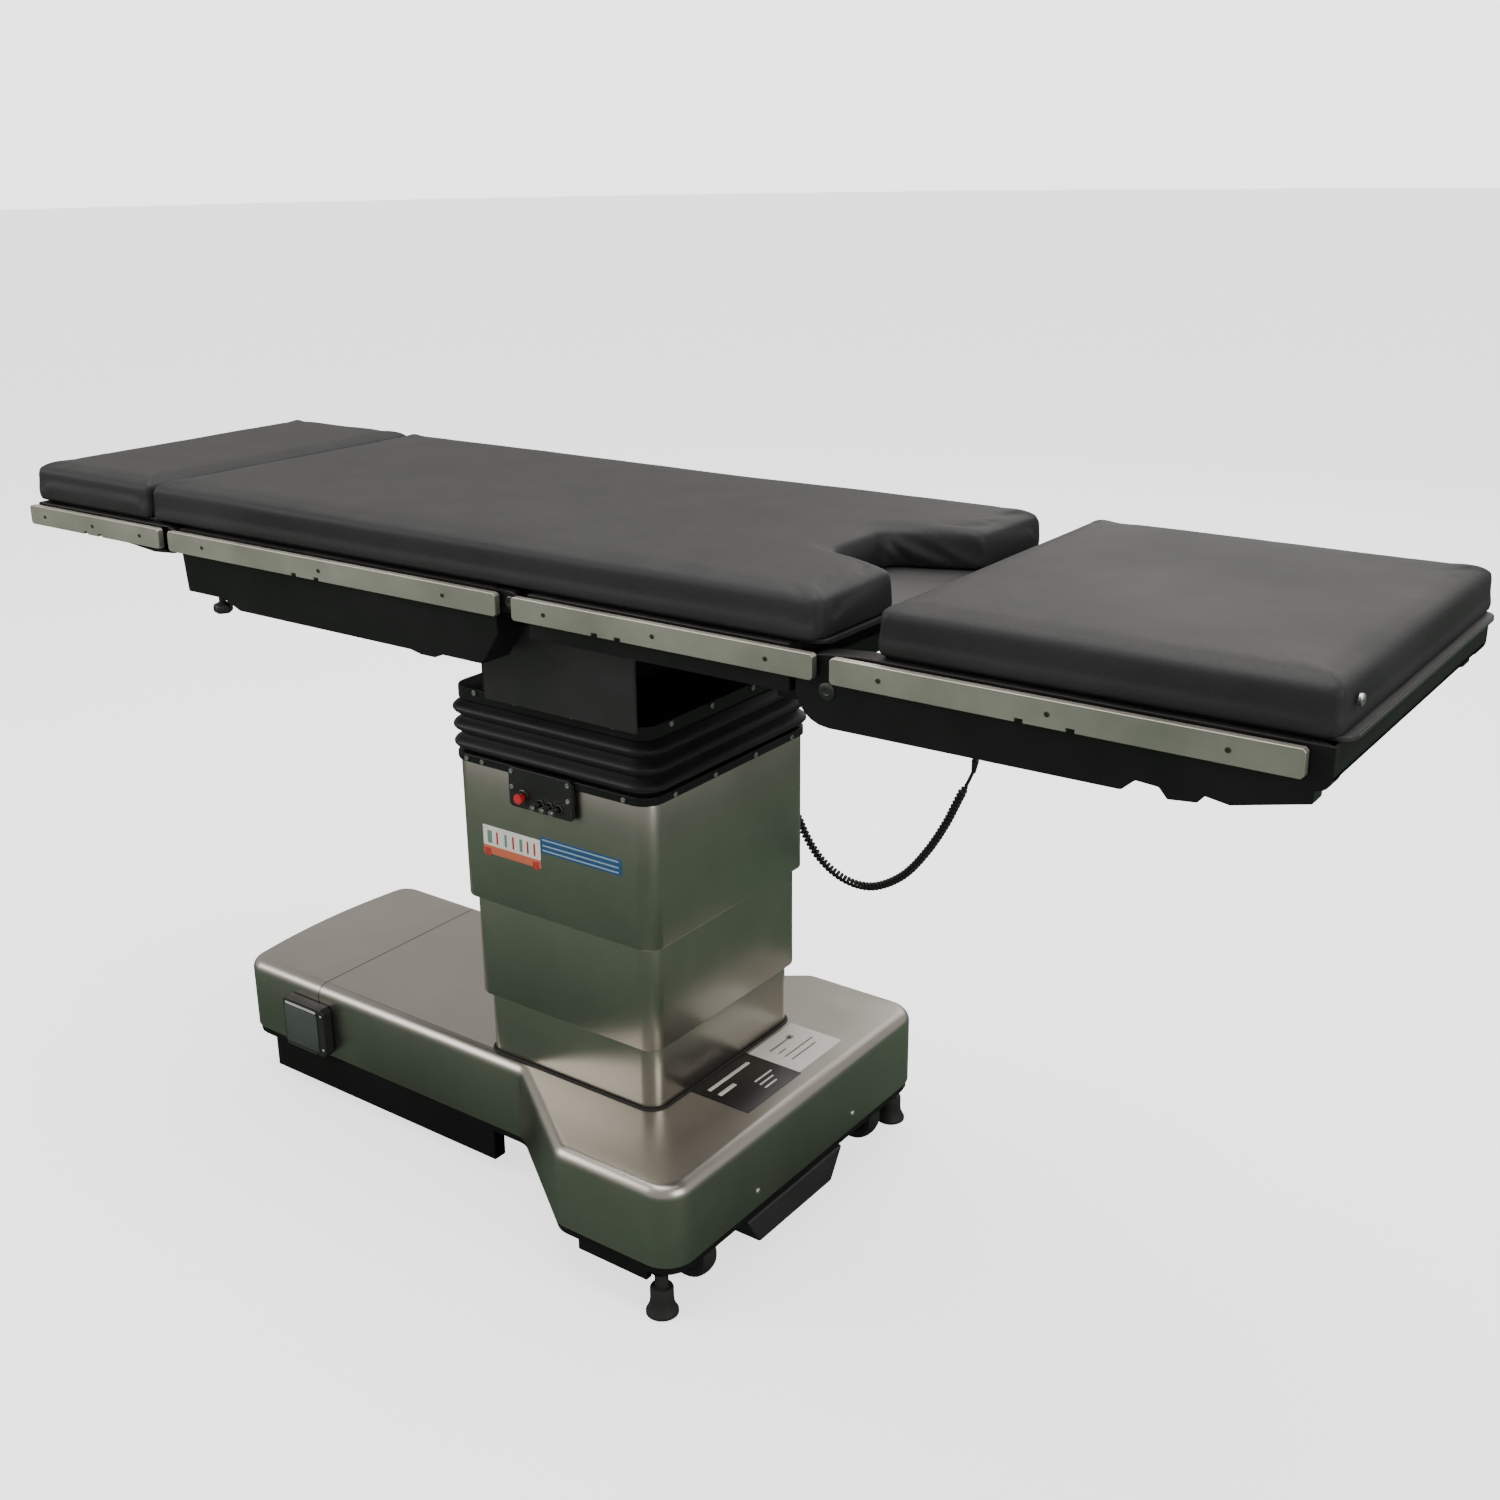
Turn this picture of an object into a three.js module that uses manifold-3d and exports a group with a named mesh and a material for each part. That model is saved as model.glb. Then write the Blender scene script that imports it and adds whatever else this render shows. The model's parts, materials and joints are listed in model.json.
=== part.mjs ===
// An operating table: a wheeled base with floor locks, a telescoping column, a two-way tilting saddle,
// and a top in four hinged sections with pads and accessory rails. Units are millimetres, +Z is up,
// +X runs to the leg end, -Y is the side that carries the override panel, and the floor is at zero.
// Places along X are counted from a line near the column, and the last lines move the whole part onto its middle.
import * as THREE from "three";
import { mergeVertices } from "three/addons/utils/BufferGeometryUtils.js";
import Module from "manifold-3d";

const wasm = await Module();
wasm.setup();

// Fits and rounding shared by all pieces
const fit = 0.3;
const bearingGap = 0.4;
const overrun = 5;
const leastCorner = 1;
const weld = 0.0005;
const cornerSteps = 4;
const roundSides = 24;
const smallSides = 10;
const footSides = 16;
const quarterTurn = Math.PI / 2;
const both = [-1, 1];

// Table top: heights
const padTop = 975;
const padThickness = 52;
const boardThickness = 6;
const boardTop = padTop - padThickness - fit;
const boardBottom = boardTop - boardThickness;
const frameTop = boardBottom - fit;

// Table top: widths, each measured from the long middle plane
const padHalf = 254;
const boardInset = 4;
const boardHalf = padHalf - boardInset;
const frameProud = 8;
const frameOuter = padHalf + frameProud;
const beamWidth = 26;
const frameInner = frameOuter - beamWidth;

// Hinge lines between the sections
const hingeDrops = { head: 19.9, back: 14.4, leg: 44.4 };
const sectionLengths = { back: 650, seat: 449 };
const backHinge = { x: -3, z: frameTop - hingeDrops.back };
const headHinge = { x: backHinge.x - sectionLengths.back, z: frameTop - hingeDrops.head };
const legHinge = { x: backHinge.x + sectionLengths.seat, z: frameTop - hingeDrops.leg };

// How far the rails, boards and frames of each section stay from the hinge lines, or reach out from one
const headSpan = { railGap: 8, rail: 317, railPast: 2, boardGap: 22 };
const backSpan = { railGap: 13, boardHead: 17, boardSeat: 20, castHead: 23, castSeat: 25 };
const seatSpan = { railBack: 13, railLeg: 10, boardBack: 20, boardLeg: 10, beamBack: 27, beamLeg: 7, frontBar: 135 };
const legSpan = { railGap: 11, rail: 505, boardGap: 55, board: 536 };

// Accessory rails
const railHeight = 28.6;
const railThickness = 9.5;
const railStandOff = 4.5;
const railInner = frameOuter + railStandOff;
const railOuter = railInner + railThickness;
const railDrop = 2.4;
const railTop = frameTop - railDrop;
const railBottom = railTop - railHeight;
const railChamfer = 3;
const railNotch = { width: 9, depth: 4 };
const headRail = { from: headHinge.x - headSpan.rail, to: headHinge.x - headSpan.railGap };
const backRail = { from: headHinge.x + backSpan.railGap, to: backHinge.x - backSpan.railGap };
const seatRail = { from: backHinge.x + seatSpan.railBack, to: legHinge.x - seatSpan.railLeg };
const legRail = { from: legHinge.x + legSpan.railGap, to: legHinge.x + legSpan.rail };
const railNotchShares = { head: [0.44, 0.55], back: [0.42, 0.49], seat: [0.3, 0.38], leg: [0.44, 0.55] };
const spacer = { width: 16, height: 18 };
const spacerShares = [0.12, 0.5, 0.86];

// Pads: the seam lies past the head hinge, and the long pad is cut where it bends
const padSeamPast = 43.5;
const padSeam = headHinge.x - padSeamPast;
const padSeamGap = 1;
const headPadLength = 273.5;
const headPadEnd = padSeam - headPadLength;
const seatPadGap = 10;
const seatPadEnd = legHinge.x - seatPadGap;
const legPadSpan = { gap: 51, reach: 524 };
const legPad = { from: legHinge.x + legPadSpan.gap, to: legHinge.x + legPadSpan.reach };
const padCorner = 14;
const padEdge = 15;
const padDraw = 5;
const padCrown = 4;
const padCrownInset = 60;
const padNotch = { depth: 111, half: 50, mouth: 95, corner: 26, lip: 16 };
const padNotchFrom = seatPadEnd - padNotch.depth;
const padSplits = { end: 55, foldBack: 30, foldSeat: 70 };
const padEndSplit = headHinge.x + padSplits.end;
const foldFrom = backHinge.x - padSplits.foldBack;
const foldTo = backHinge.x + padSplits.foldSeat;
const padEdgeShares = [0, 0.3, 0.65, 1];

// Boards under the pads
const boardCorner = 18;
const headBoard = { from: headRail.from + headSpan.railPast, to: headHinge.x - headSpan.boardGap };
const backBoard = { from: headHinge.x + backSpan.boardHead, to: backHinge.x - backSpan.boardSeat };
const seatBoard = { from: backHinge.x + seatSpan.boardBack, to: legHinge.x - seatSpan.boardLeg };
const legBoard = { from: legHinge.x + legSpan.boardGap, to: legHinge.x + legSpan.board };

// Head section
const headBeamWidth = 22;
const headBeamInner = frameOuter - headBeamWidth;
const headEye = 19;
const headPin = 7;
const headFrameEnd = headRail.from + headSpan.railPast;
const headBar = { width: 28, depth: 20 };
const headBarInset = 70;
const headTaperShares = [
  [1, 0.34],
  [0.88, 0.6],
  [0.5, 0.75],
  [0.13, 1],
];
const headTaperDepth = 42;

// Back section
const backCastWidth = 50;
const backCastInner = frameOuter - backCastWidth;
const backEyeWidth = 24;
const hingeGap = 2;
const backEye = 13.5;
const backPin = 6;
const backCast = { from: headHinge.x + backSpan.castHead, to: backHinge.x - backSpan.castSeat, depth: 104 };
const backCastShares = [
  [0, 0.35],
  [0.01, 0.86],
  [0.135, 0.86],
  [0.191, 0.985],
  [0.745, 0.985],
  [0.775, 1.02],
  [0.815, 1.02],
  [0.835, 0.965],
  [0.952, 0.965],
  [1, 0.57],
];
const backBar = { width: 26, depth: 28 };
const backMidBarShare = 0.36;

// Leg hinge and seat section
const legHubGap = 3.4;
const legHub = hingeDrops.leg - legHubGap;
const seatBeam = { from: backHinge.x + seatSpan.beamBack, to: legHinge.x - legHub - seatSpan.beamLeg, depth: 54.4 };
const seatBar = { to: backHinge.x + seatSpan.frontBar, depth: 36.4 };
const seatRearBar = { width: 36, depth: 24 };
const seatEyeWidth = 22;
const legLug = { width: 24, radius: 28, inset: 3 };
const legPin = 9;
const cordSocket = { x: 40, radius: 9, depth: 17 };

// Leg section
const legBeamLength = 526;
const legBeamShares = [
  [0, 1],
  [0.63, 0.965],
  [0.655, 0.825],
  [0.7, 0.845],
  [0.717, 0.965],
  [0.772, 0.93],
  [0.783, 0.835],
  [0.83, 0.88],
  [0.98, 0.66],
  [1, 0.4],
  [1, 0],
];
const legBar = { width: 40, depth: 44, inset: 74 };
const legEndBar = { width: 34, depth: 30 };

// The two pins that the top tilts on, and the saddle that hangs on the upper one
const columnX = -36;
const trendDrop = 141.4;
const trendZ = frameTop - trendDrop;
const tiltDrop = 85;
const tiltZ = trendZ - tiltDrop;
const saddleCheek = { inner: 92, width: 28, radius: 30, shoulder: 106 };
const trendPin = { radius: 14, end: 4 };
const saddlePlate = { back: 25, leg: 131, side: 14.3, thickness: 17.7 };
const saddleFrom = backHinge.x - saddlePlate.back;
const saddleTo = backHinge.x + saddlePlate.leg;
const saddleHalf = backCastInner - saddlePlate.side;
const saddleTop = frameTop - seatBar.depth - fit;
const saddleCover = { thickness: 4, back: 112, leg: 138, depth: 134.7, headDepth: 74.7, shoulder: 27 };

// Column: the outer shroud is as wide as the back frame's opening lets it be
const shroudWall = 2;
const shroudCorner = 24;
const shroudStep = 8;
const shroudSide = 35;
const shroudDrop = 51;
const upperShroud = { halfX: 167, halfY: backCastInner - shroudSide, top: tiltZ - shroudDrop };
const headPlateThickness = 11;
const lowerFlange = { lip: 4, height: 11.7, rim: 28, corner: 28 };
const ram = { radius: 50 };
const guideWall = 24;
const guideStrip = 12;

// Tilt cross and the flange that it carries
const crossBarrel = { inset: 55, radius: 24 };
const barrelFrom = columnX - upperShroud.halfX + crossBarrel.inset;
const barrelTo = columnX + upperShroud.halfX - crossBarrel.inset;
const crossTrunnion = { length: 24, radius: 14 };
const bearingWall = 8;
const bearing = { width: 22, radius: crossTrunnion.radius + bearingWall };
const crossWeb = { length: 68, half: 40 };
const crossBoss = { half: saddleCheek.inner - hingeGap, radius: 26 };
const crossSeat = { length: 168, half: 64 };
const flangeRise = 10;
const upperFlange = { bottom: tiltZ + crossBarrel.radius + flangeRise, thickness: 19, corner: 26 };
const clevis = { endInset: 55, length: 40, width: 34, inset: 5, height: 54, corner: 12 };

// Bellows between the flanges
const bellows = { bulge: 9, waist: 3, wall: 3, pleats: 3 };
const bellowsStepShares = [
  [0.12, 0.35],
  [0.3, 1],
  [0.7, 1],
  [0.88, 0.35],
];

// Override panel on the column, placed from the column's middle and the shroud's top
const panel = { head: 59, leg: 50, drop: 41.5, rise: 13.5, thickness: 6, corner: 4 };
const panelInset = 4;
const redButton = { offset: 34, drop: 24.5, radius: 7, length: 9, stem: 3.5 };
const buttonPlace = { x: columnX - redButton.offset, z: upperShroud.top - redButton.drop };
const toggle = { drop: 28, radius: 2.6, length: 15, ball: 4.2 };
const toggleZ = upperShroud.top - toggle.drop;
const toggleOffsets = [-4, 12, 28];
const togglePlaces = toggleOffsets.map((offset) => columnX + offset);
const controlHole = 0.8;
const toggleHole = 2.4;

// Casters, which set how high the base's deck lies
const caster = { wheel: 40, width: 28, lift: 6, trail: 16, axle: 6, crown: 24, crownHeight: 10, plate: 5, stem: 9 };
const wheelRoom = 8;
const deckThickness = 12;
const deckBottom = caster.lift + caster.wheel * 2 + caster.crownHeight + wheelRoom;
const deck = { bottom: deckBottom, top: deckBottom + deckThickness };

// Base, its ends placed from the column's middle
const coverTop = 195;
const coverBottom = 80;
const coverWall = 2.5;
const coverEdge = 18;
const coverEdgeShares = [0, 0.08, 0.3, 0.62, 1];
const coverCornerShares = [0, 0.38, 0.71, 0.92, 1];
const baseReach = { head: 670, bulge: 24, neck: 79, hip: 96, foot: 287, hipStep: 125 };
const base = {
  headEnd: columnX - baseReach.head,
  headBulge: columnX - baseReach.head - baseReach.bulge,
  narrowHalf: upperShroud.halfY,
  wideHalf: upperShroud.halfY + baseReach.hipStep,
  neckX: columnX - baseReach.neck,
  hipX: columnX + baseReach.hip,
  footEnd: columnX + baseReach.foot,
};
const baseCorners = { head: 36, neck: 30, hip: 34, foot: 42 };
const bulgeShare = 0.728;
const shroudSlot = 1;
const deckRim = { bottom: 68, width: 12 };
const sideSkirt = { headInset: 54, neckInset: 61, bottom: 20, width: 22 };
const cornerBlock = { hipInset: 32, footInset: 45, width: 23, bottom: 54 };
const columnFoot = { insetX: 53, insetY: 63, height: 19 };
const columnFootTop = deck.top + columnFoot.height;
const inletBox = { near: 106, far: 199, bottom: 86, top: 168, depth: 18, corner: 6 };
const endHousing = { length: 121, nearInset: 160, farInset: 213, bottom: 23, taper: 28, reach: 1 };

// The telescoping stages, as shares of the way from the base's top to the upper shroud's
const ramBottomShare = 0.0834;
const middleBottomShare = 0.2117;
const lowerTopShare = 0.4955;
const upperBottomShare = 0.5518;
const middleTopShare = 0.7185;
const stageAt = (share) => coverTop + (upperShroud.top - coverTop) * share;

// Floor locks
const lockFoot = { radius: 21.5, neck: 12.5, rim: 6, cone: 28, shoulder: 40, stem: 9, top: 150 };
const lockSleeve = { wall: 2.5, top: 140, bottom: 64 };

// How far the floor locks and casters stay inside the base's ends and sides
const lockInsets = { headX: 61, headY: 59, legX: 35, legY: 20.5 };
const casterInsets = { headX: 151, headY: 97, legX: 67, legY: 99 };

function insideCorners({ headX, headY, legX, legY }) {
  return [
    { name: "head_near", x: base.headEnd + headX, y: headY - base.narrowHalf },
    { name: "head_far", x: base.headEnd + headX, y: base.narrowHalf - headY },
    { name: "leg_near", x: base.footEnd - legX, y: legY - base.wideHalf },
    { name: "leg_far", x: base.footEnd - legX, y: base.wideHalf - legY },
  ];
}

const lockPlaces = insideCorners(lockInsets);
const casterPlaces = insideCorners(casterInsets);

// Head section lock knob, under the head end of the back casting
const knob = { inset: 13, stem: 5, radius: 14, height: 13, drop: 12, steps: 3 };
const knobShare = 0.103;
const knobSeatShare = 0.86;

// Hand control on the far rail and its cord
const remote = { x: 333, width: 56, depth: 24, height: 220, drop: 59, corner: 8 };
const hook = { width: 24, thickness: 3, lip: 16 };
const relief = { radius: 7, tip: 4, length: 31 };
const cord = { diameter: 5, curl: 13.5, pitch: 8.8, sides: 5, curlSteps: 8, openTurns: 2, leadSides: 8, leadStep: 12, routeSteps: 40 };
const curlFrom = 385;
const curlTo = 36;
// the cord hangs from the socket under the seat frame, bellies out and rises to the hand control;
// each point is its place along X, how far it lies outside the rail and how far below the frame's top
const cordRoute = [
  [40, -27, 71.4],
  [40, -24, 116.4],
  [34, -6, 196.4],
  [24, 10, 296.4],
  [20, 16, 376.4],
  [32, 16, 446.4],
  [58, 16, 498.4],
  [85, 16, 527.4],
  [126, 16, 546.4],
  [170, 16, 545.4],
  [220, 16, 516.4],
  [260, 16, 468.4],
  [291, 16, 415.4],
  [310, 16, 373.4],
  [325, 16, 342.4],
  [331, 16, 326.4],
  [333, 16, 312.7],
];

// Materials by use
const looks = {
  vinyl: { color: 0x232425, roughness: 0.55, metalness: 0 },
  board: { color: 0x1c1d1e, roughness: 0.6, metalness: 0 },
  casting: { color: 0x1f2122, roughness: 0.45, metalness: 0.3 },
  stainless: { color: 0xa39d90, roughness: 0.32, metalness: 1 },
  rail: { color: 0xa9a396, roughness: 0.3, metalness: 1 },
  steel: { color: 0x8d9094, roughness: 0.35, metalness: 1 },
  rubber: { color: 0x161718, roughness: 0.8, metalness: 0 },
  plastic: { color: 0x1a1b1c, roughness: 0.5, metalness: 0 },
  red: { color: 0xb3202c, roughness: 0.4, metalness: 0 },
  bright: { color: 0xc9cacb, roughness: 0.25, metalness: 1 },
};

// Booleans

// a geometry as a manifold solid; what is one already stays as it is
function solid(piece) {
  if (piece instanceof wasm.Manifold) return piece;
  const bare = (piece.index ? piece.toNonIndexed() : piece.clone()).deleteAttribute("normal").deleteAttribute("uv");
  const merged = mergeVertices(bare, weld);
  return new wasm.Manifold(
    new wasm.Mesh({
      numProp: 3,
      vertProperties: merged.attributes.position.array,
      triVerts: new Uint32Array(merged.index.array),
    }),
  );
}

function geometryOf(piece) {
  if (piece.isBufferGeometry) return piece;
  const made = piece.getMesh();
  const geometry = new THREE.BufferGeometry();
  geometry.setAttribute("position", new THREE.BufferAttribute(made.vertProperties, 3));
  geometry.setIndex(new THREE.BufferAttribute(made.triVerts, 1));
  geometry.computeVertexNormals();
  return geometry;
}

function join(...pieces) {
  return pieces.map(solid).reduce((sum, piece) => sum.add(piece));
}

function cut(from, ...tools) {
  return tools.map(solid).reduce((rest, tool) => rest.subtract(tool), solid(from));
}

function common(a, b) {
  return solid(a).intersect(solid(b));
}

// Plain shapes

function block(x0, x1, y0, y1, z0, z1) {
  const geometry = new THREE.BoxGeometry(x1 - x0, y1 - y0, z1 - z0);
  return geometry.translate((x0 + x1) / 2, (y0 + y1) / 2, (z0 + z1) / 2);
}

// a rod along "x", "y" or "z" from a to b, where at holds its other two places
function rod(axis, radius, a, b, at, sides = roundSides) {
  const geometry = new THREE.CylinderGeometry(radius, radius, b - a, sides);
  const place = { x: at.x ?? 0, y: at.y ?? 0, z: at.z ?? 0, [axis]: (a + b) / 2 };
  if (axis === "x") geometry.rotateZ(-quarterTurn);
  if (axis === "z") geometry.rotateX(quarterTurn);
  return geometry.translate(place.x, place.y, place.z);
}

function shapeOf(points) {
  return new THREE.Shape(points.map(([x, y]) => new THREE.Vector2(x, y)));
}

// an outline in x and z, drawn out from y0 to y1
function sidePlate(points, y0, y1) {
  const settings = { depth: y1 - y0, bevelEnabled: false };
  return new THREE.ExtrudeGeometry(shapeOf(points), settings).rotateX(quarterTurn).translate(0, y1, 0);
}

// an outline in y and z, drawn out from x0 to x1
function endPlate(points, x0, x1) {
  const settings = { depth: x1 - x0, bevelEnabled: false };
  const geometry = new THREE.ExtrudeGeometry(shapeOf(points), settings);
  return geometry.rotateX(quarterTurn).rotateZ(quarterTurn).translate(x0, 0, 0);
}

// a bore for a turning rod of that radius, with room between the flats of both
function bore(axis, radius, a, b, at, sides = roundSides) {
  return rod(axis, (radius + bearingGap) / Math.cos(Math.PI / sides), a, b, at, sides);
}

// the same piece on the near side and on the far side, as two geometries; outer and inner are distances from the middle
function mirrored(make, inner, outer) {
  return [make(-outer, -inner), make(inner, outer)];
}

// Rounded outlines. Corners are [x, y, radius], anticlockwise, and an inset moves every edge inwards.

function roundedLoop(corners, inset = 0) {
  const count = corners.length;
  const edges = corners.map(([x, y], i) => {
    const [nx, ny] = corners[(i + 1) % count];
    const length = Math.hypot(nx - x, ny - y);
    const along = [(nx - x) / length, (ny - y) / length];
    return { x: x - along[1] * inset, y: y + along[0] * inset, along };
  });
  return corners.flatMap((corner, i) => {
    const before = edges[(i + count - 1) % count];
    const after = edges[i];
    const turn = before.along[0] * after.along[1] - before.along[1] * after.along[0];
    const reach = ((after.x - before.x) * after.along[1] - (after.y - before.y) * after.along[0]) / turn;
    const tip = [before.x + before.along[0] * reach, before.y + before.along[1] * reach];
    const radius = Math.max(corner[2] - inset * Math.sign(turn), leastCorner);
    const angle = Math.atan2(turn, before.along[0] * after.along[0] + before.along[1] * after.along[1]);
    const back = radius * Math.tan(Math.abs(angle) / 2);
    const start = [tip[0] - before.along[0] * back, tip[1] - before.along[1] * back];
    const side = Math.sign(angle);
    const centre = [start[0] - before.along[1] * radius * side, start[1] + before.along[0] * radius * side];
    const first = Math.atan2(start[1] - centre[1], start[0] - centre[0]);
    return Array.from({ length: cornerSteps + 1 }, (_, k) => {
      const at = first + (angle * k) / cornerSteps;
      return [centre[0] + radius * Math.cos(at), centre[1] + radius * Math.sin(at)];
    });
  });
}

// a closed solid through level rings with equal numbers of points, from the lowest up
function loft(rings) {
  const count = rings[0].points.length;
  const places = rings.flatMap(({ points, z }) => points.flatMap(([x, y]) => [x, y, z]));
  const faces = [];
  for (let r = 0; r + 1 < rings.length; r += 1) {
    for (let j = 0; j < count; j += 1) {
      const a = r * count + j;
      const b = r * count + ((j + 1) % count);
      faces.push(a, b, b + count, a, b + count, a + count);
    }
  }
  const cap = (points) => THREE.ShapeUtils.triangulateShape(points.map(([x, y]) => new THREE.Vector2(x, y)), []);
  const last = (rings.length - 1) * count;
  cap(rings[0].points).forEach(([a, b, c]) => faces.push(a, c, b));
  cap(rings[rings.length - 1].points).forEach(([a, b, c]) => faces.push(last + a, last + b, last + c));
  const geometry = new THREE.BufferGeometry();
  geometry.setAttribute("position", new THREE.Float32BufferAttribute(places, 3));
  geometry.setIndex(faces);
  geometry.computeVertexNormals();
  return geometry;
}

function rectangle(x0, x1, half, radius) {
  return [
    [x0, -half, radius],
    [x1, -half, radius],
    [x1, half, radius],
    [x0, half, radius],
  ];
}

function prism(corners, z0, z1, inset = 0) {
  const points = roundedLoop(corners, inset);
  return loft([
    { points, z: z0 },
    { points, z: z1 },
  ]);
}

// Pads, boards and rails

// a cushion over a rounded outline: sides drawn in at the bottom, a soft top edge and a low crown
function cushion(corners) {
  const bottom = padTop - padThickness;
  const edge = padEdgeShares.map((share) => {
    const angle = share * quarterTurn;
    const inset = padEdge * (1 - Math.cos(angle));
    return { points: roundedLoop(corners, inset), z: padTop - padCrown - padEdge * (1 - Math.sin(angle)) };
  });
  return loft([
    { points: roundedLoop(corners, padDraw), z: bottom },
    { points: roundedLoop(corners, padDraw / 4), z: bottom + padDraw * 2 },
    ...edge,
    { points: roundedLoop(corners, padCrownInset), z: padTop },
  ]);
}

// the long pad over the back and the seat, with the notch at its leg end
function longPadCorners() {
  const { half, mouth, corner, lip } = padNotch;
  return [
    [padSeam + padSeamGap / 2, -padHalf, padCorner / 2],
    [seatPadEnd, -padHalf, padCorner],
    [seatPadEnd, -mouth, lip],
    [padNotchFrom, -half, corner],
    [padNotchFrom, half, corner],
    [seatPadEnd, mouth, lip],
    [seatPadEnd, padHalf, padCorner],
    [padSeam + padSeamGap / 2, padHalf, padCorner / 2],
  ];
}

function padSlice(pad, from, to) {
  const width = padHalf + overrun;
  return common(pad, block(from, to, -width, width, boardTop, padTop + overrun));
}

function board(from, to) {
  return prism(rectangle(from, to, boardHalf, boardCorner), boardBottom, boardTop);
}

function rail(span, notchShares, y0, y1) {
  const outline = [
    [span.from, railBottom + railChamfer],
    [span.from + railChamfer, railBottom],
    [span.to - railChamfer, railBottom],
    [span.to, railBottom + railChamfer],
    [span.to, railTop - railChamfer],
    [span.to - railChamfer, railTop],
    [span.from + railChamfer, railTop],
    [span.from, railTop - railChamfer],
  ];
  const length = span.to - span.from;
  const notches = notchShares.map((share) => {
    const x = span.from + length * share;
    const half = railNotch.width / 2;
    const top = railBottom + railNotch.depth;
    return block(x - half, x + half, y0 - overrun, y1 + overrun, railBottom - overrun, top);
  });
  return cut(sidePlate(outline, y0, y1), ...notches);
}

// bosses between a frame's beam and its rail
function spacers(span) {
  const middle = (railTop + railBottom) / 2;
  const sunk = frameOuter - fit;
  return spacerShares.flatMap((share) => {
    const x = span.from + (span.to - span.from) * share;
    const make = (y0, y1) =>
      block(x - spacer.width / 2, x + spacer.width / 2, y0, y1, middle - spacer.height / 2, middle + spacer.height / 2);
    return mirrored(make, sunk, railInner - fit);
  });
}

// Frames of the four sections

function headFrameShape() {
  const length = headHinge.x - headFrameEnd;
  const taper = headTaperShares.map(([x, z]) => [headHinge.x - length * x, frameTop - headTaperDepth * z]);
  const outline = [[headFrameEnd, frameTop], ...taper, [headHinge.x, headHinge.z - headEye], [headHinge.x, frameTop]];
  const beams = mirrored((a, b) => sidePlate(outline, a, b), headBeamInner, frameOuter);
  const eyes = mirrored((a, b) => rod("y", headEye, a, b, headHinge), headBeamInner, frameOuter);
  const pins = mirrored((a, b) => rod("y", headPin, a, b, headHinge, smallSides), backCastInner + hingeGap, frameOuter);
  const barBottom = frameTop - headBar.depth;
  const bars = [headFrameEnd, headHinge.x - headBarInset - headBar.width].map((x) =>
    block(x, x + headBar.width, -headBeamInner - fit, headBeamInner + fit, barBottom, frameTop),
  );
  return join(...beams, ...eyes, ...pins, ...bars, ...spacers(headRail));
}

function backFrameShape() {
  const { from, to, depth } = backCast;
  const lower = backCastShares.map(([x, z]) => [from + (to - from) * x, frameTop - depth * z]);
  const outline = [[from, frameTop], ...lower, [to, frameTop]];
  const castings = mirrored((a, b) => sidePlate(outline, a, b), backCastInner, frameOuter);
  const innerEyeOuter = headBeamInner - fit;
  const headNecks = mirrored(
    (a, b) => block(headHinge.x, from + fit, a, b, headHinge.z - headEye, frameTop - fit),
    backCastInner,
    innerEyeOuter,
  );
  const headEyes = mirrored((a, b) => rod("y", headEye, a, b, headHinge), backCastInner, innerEyeOuter);
  const headBores = mirrored(
    (a, b) => bore("y", headPin, a, b, headHinge, smallSides),
    backCastInner - overrun,
    innerEyeOuter + fit / 2,
  );
  const eyeInner = frameOuter - backEyeWidth;
  const seatNecks = mirrored(
    (a, b) => block(to - fit, backHinge.x, a, b, backHinge.z - backEye, backHinge.z + backEye),
    eyeInner,
    frameOuter,
  );
  const seatEyes = mirrored((a, b) => rod("y", backEye, a, b, backHinge), eyeInner, frameOuter);
  const seatPins = mirrored(
    (a, b) => rod("y", backPin, a, b, backHinge, smallSides),
    eyeInner - seatEyeWidth,
    frameOuter,
  );
  const barBottom = frameTop - backBar.depth;
  const bars = [from, from + (to - from) * backMidBarShare].map((x) =>
    block(x, x + backBar.width, -backCastInner - fit, backCastInner + fit, barBottom, frameTop),
  );
  const body = cut(join(...castings, ...headNecks, ...headEyes, ...bars), ...headBores);
  return join(body, ...seatNecks, ...seatEyes, ...seatPins, ...spacers(backRail));
}

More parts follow.
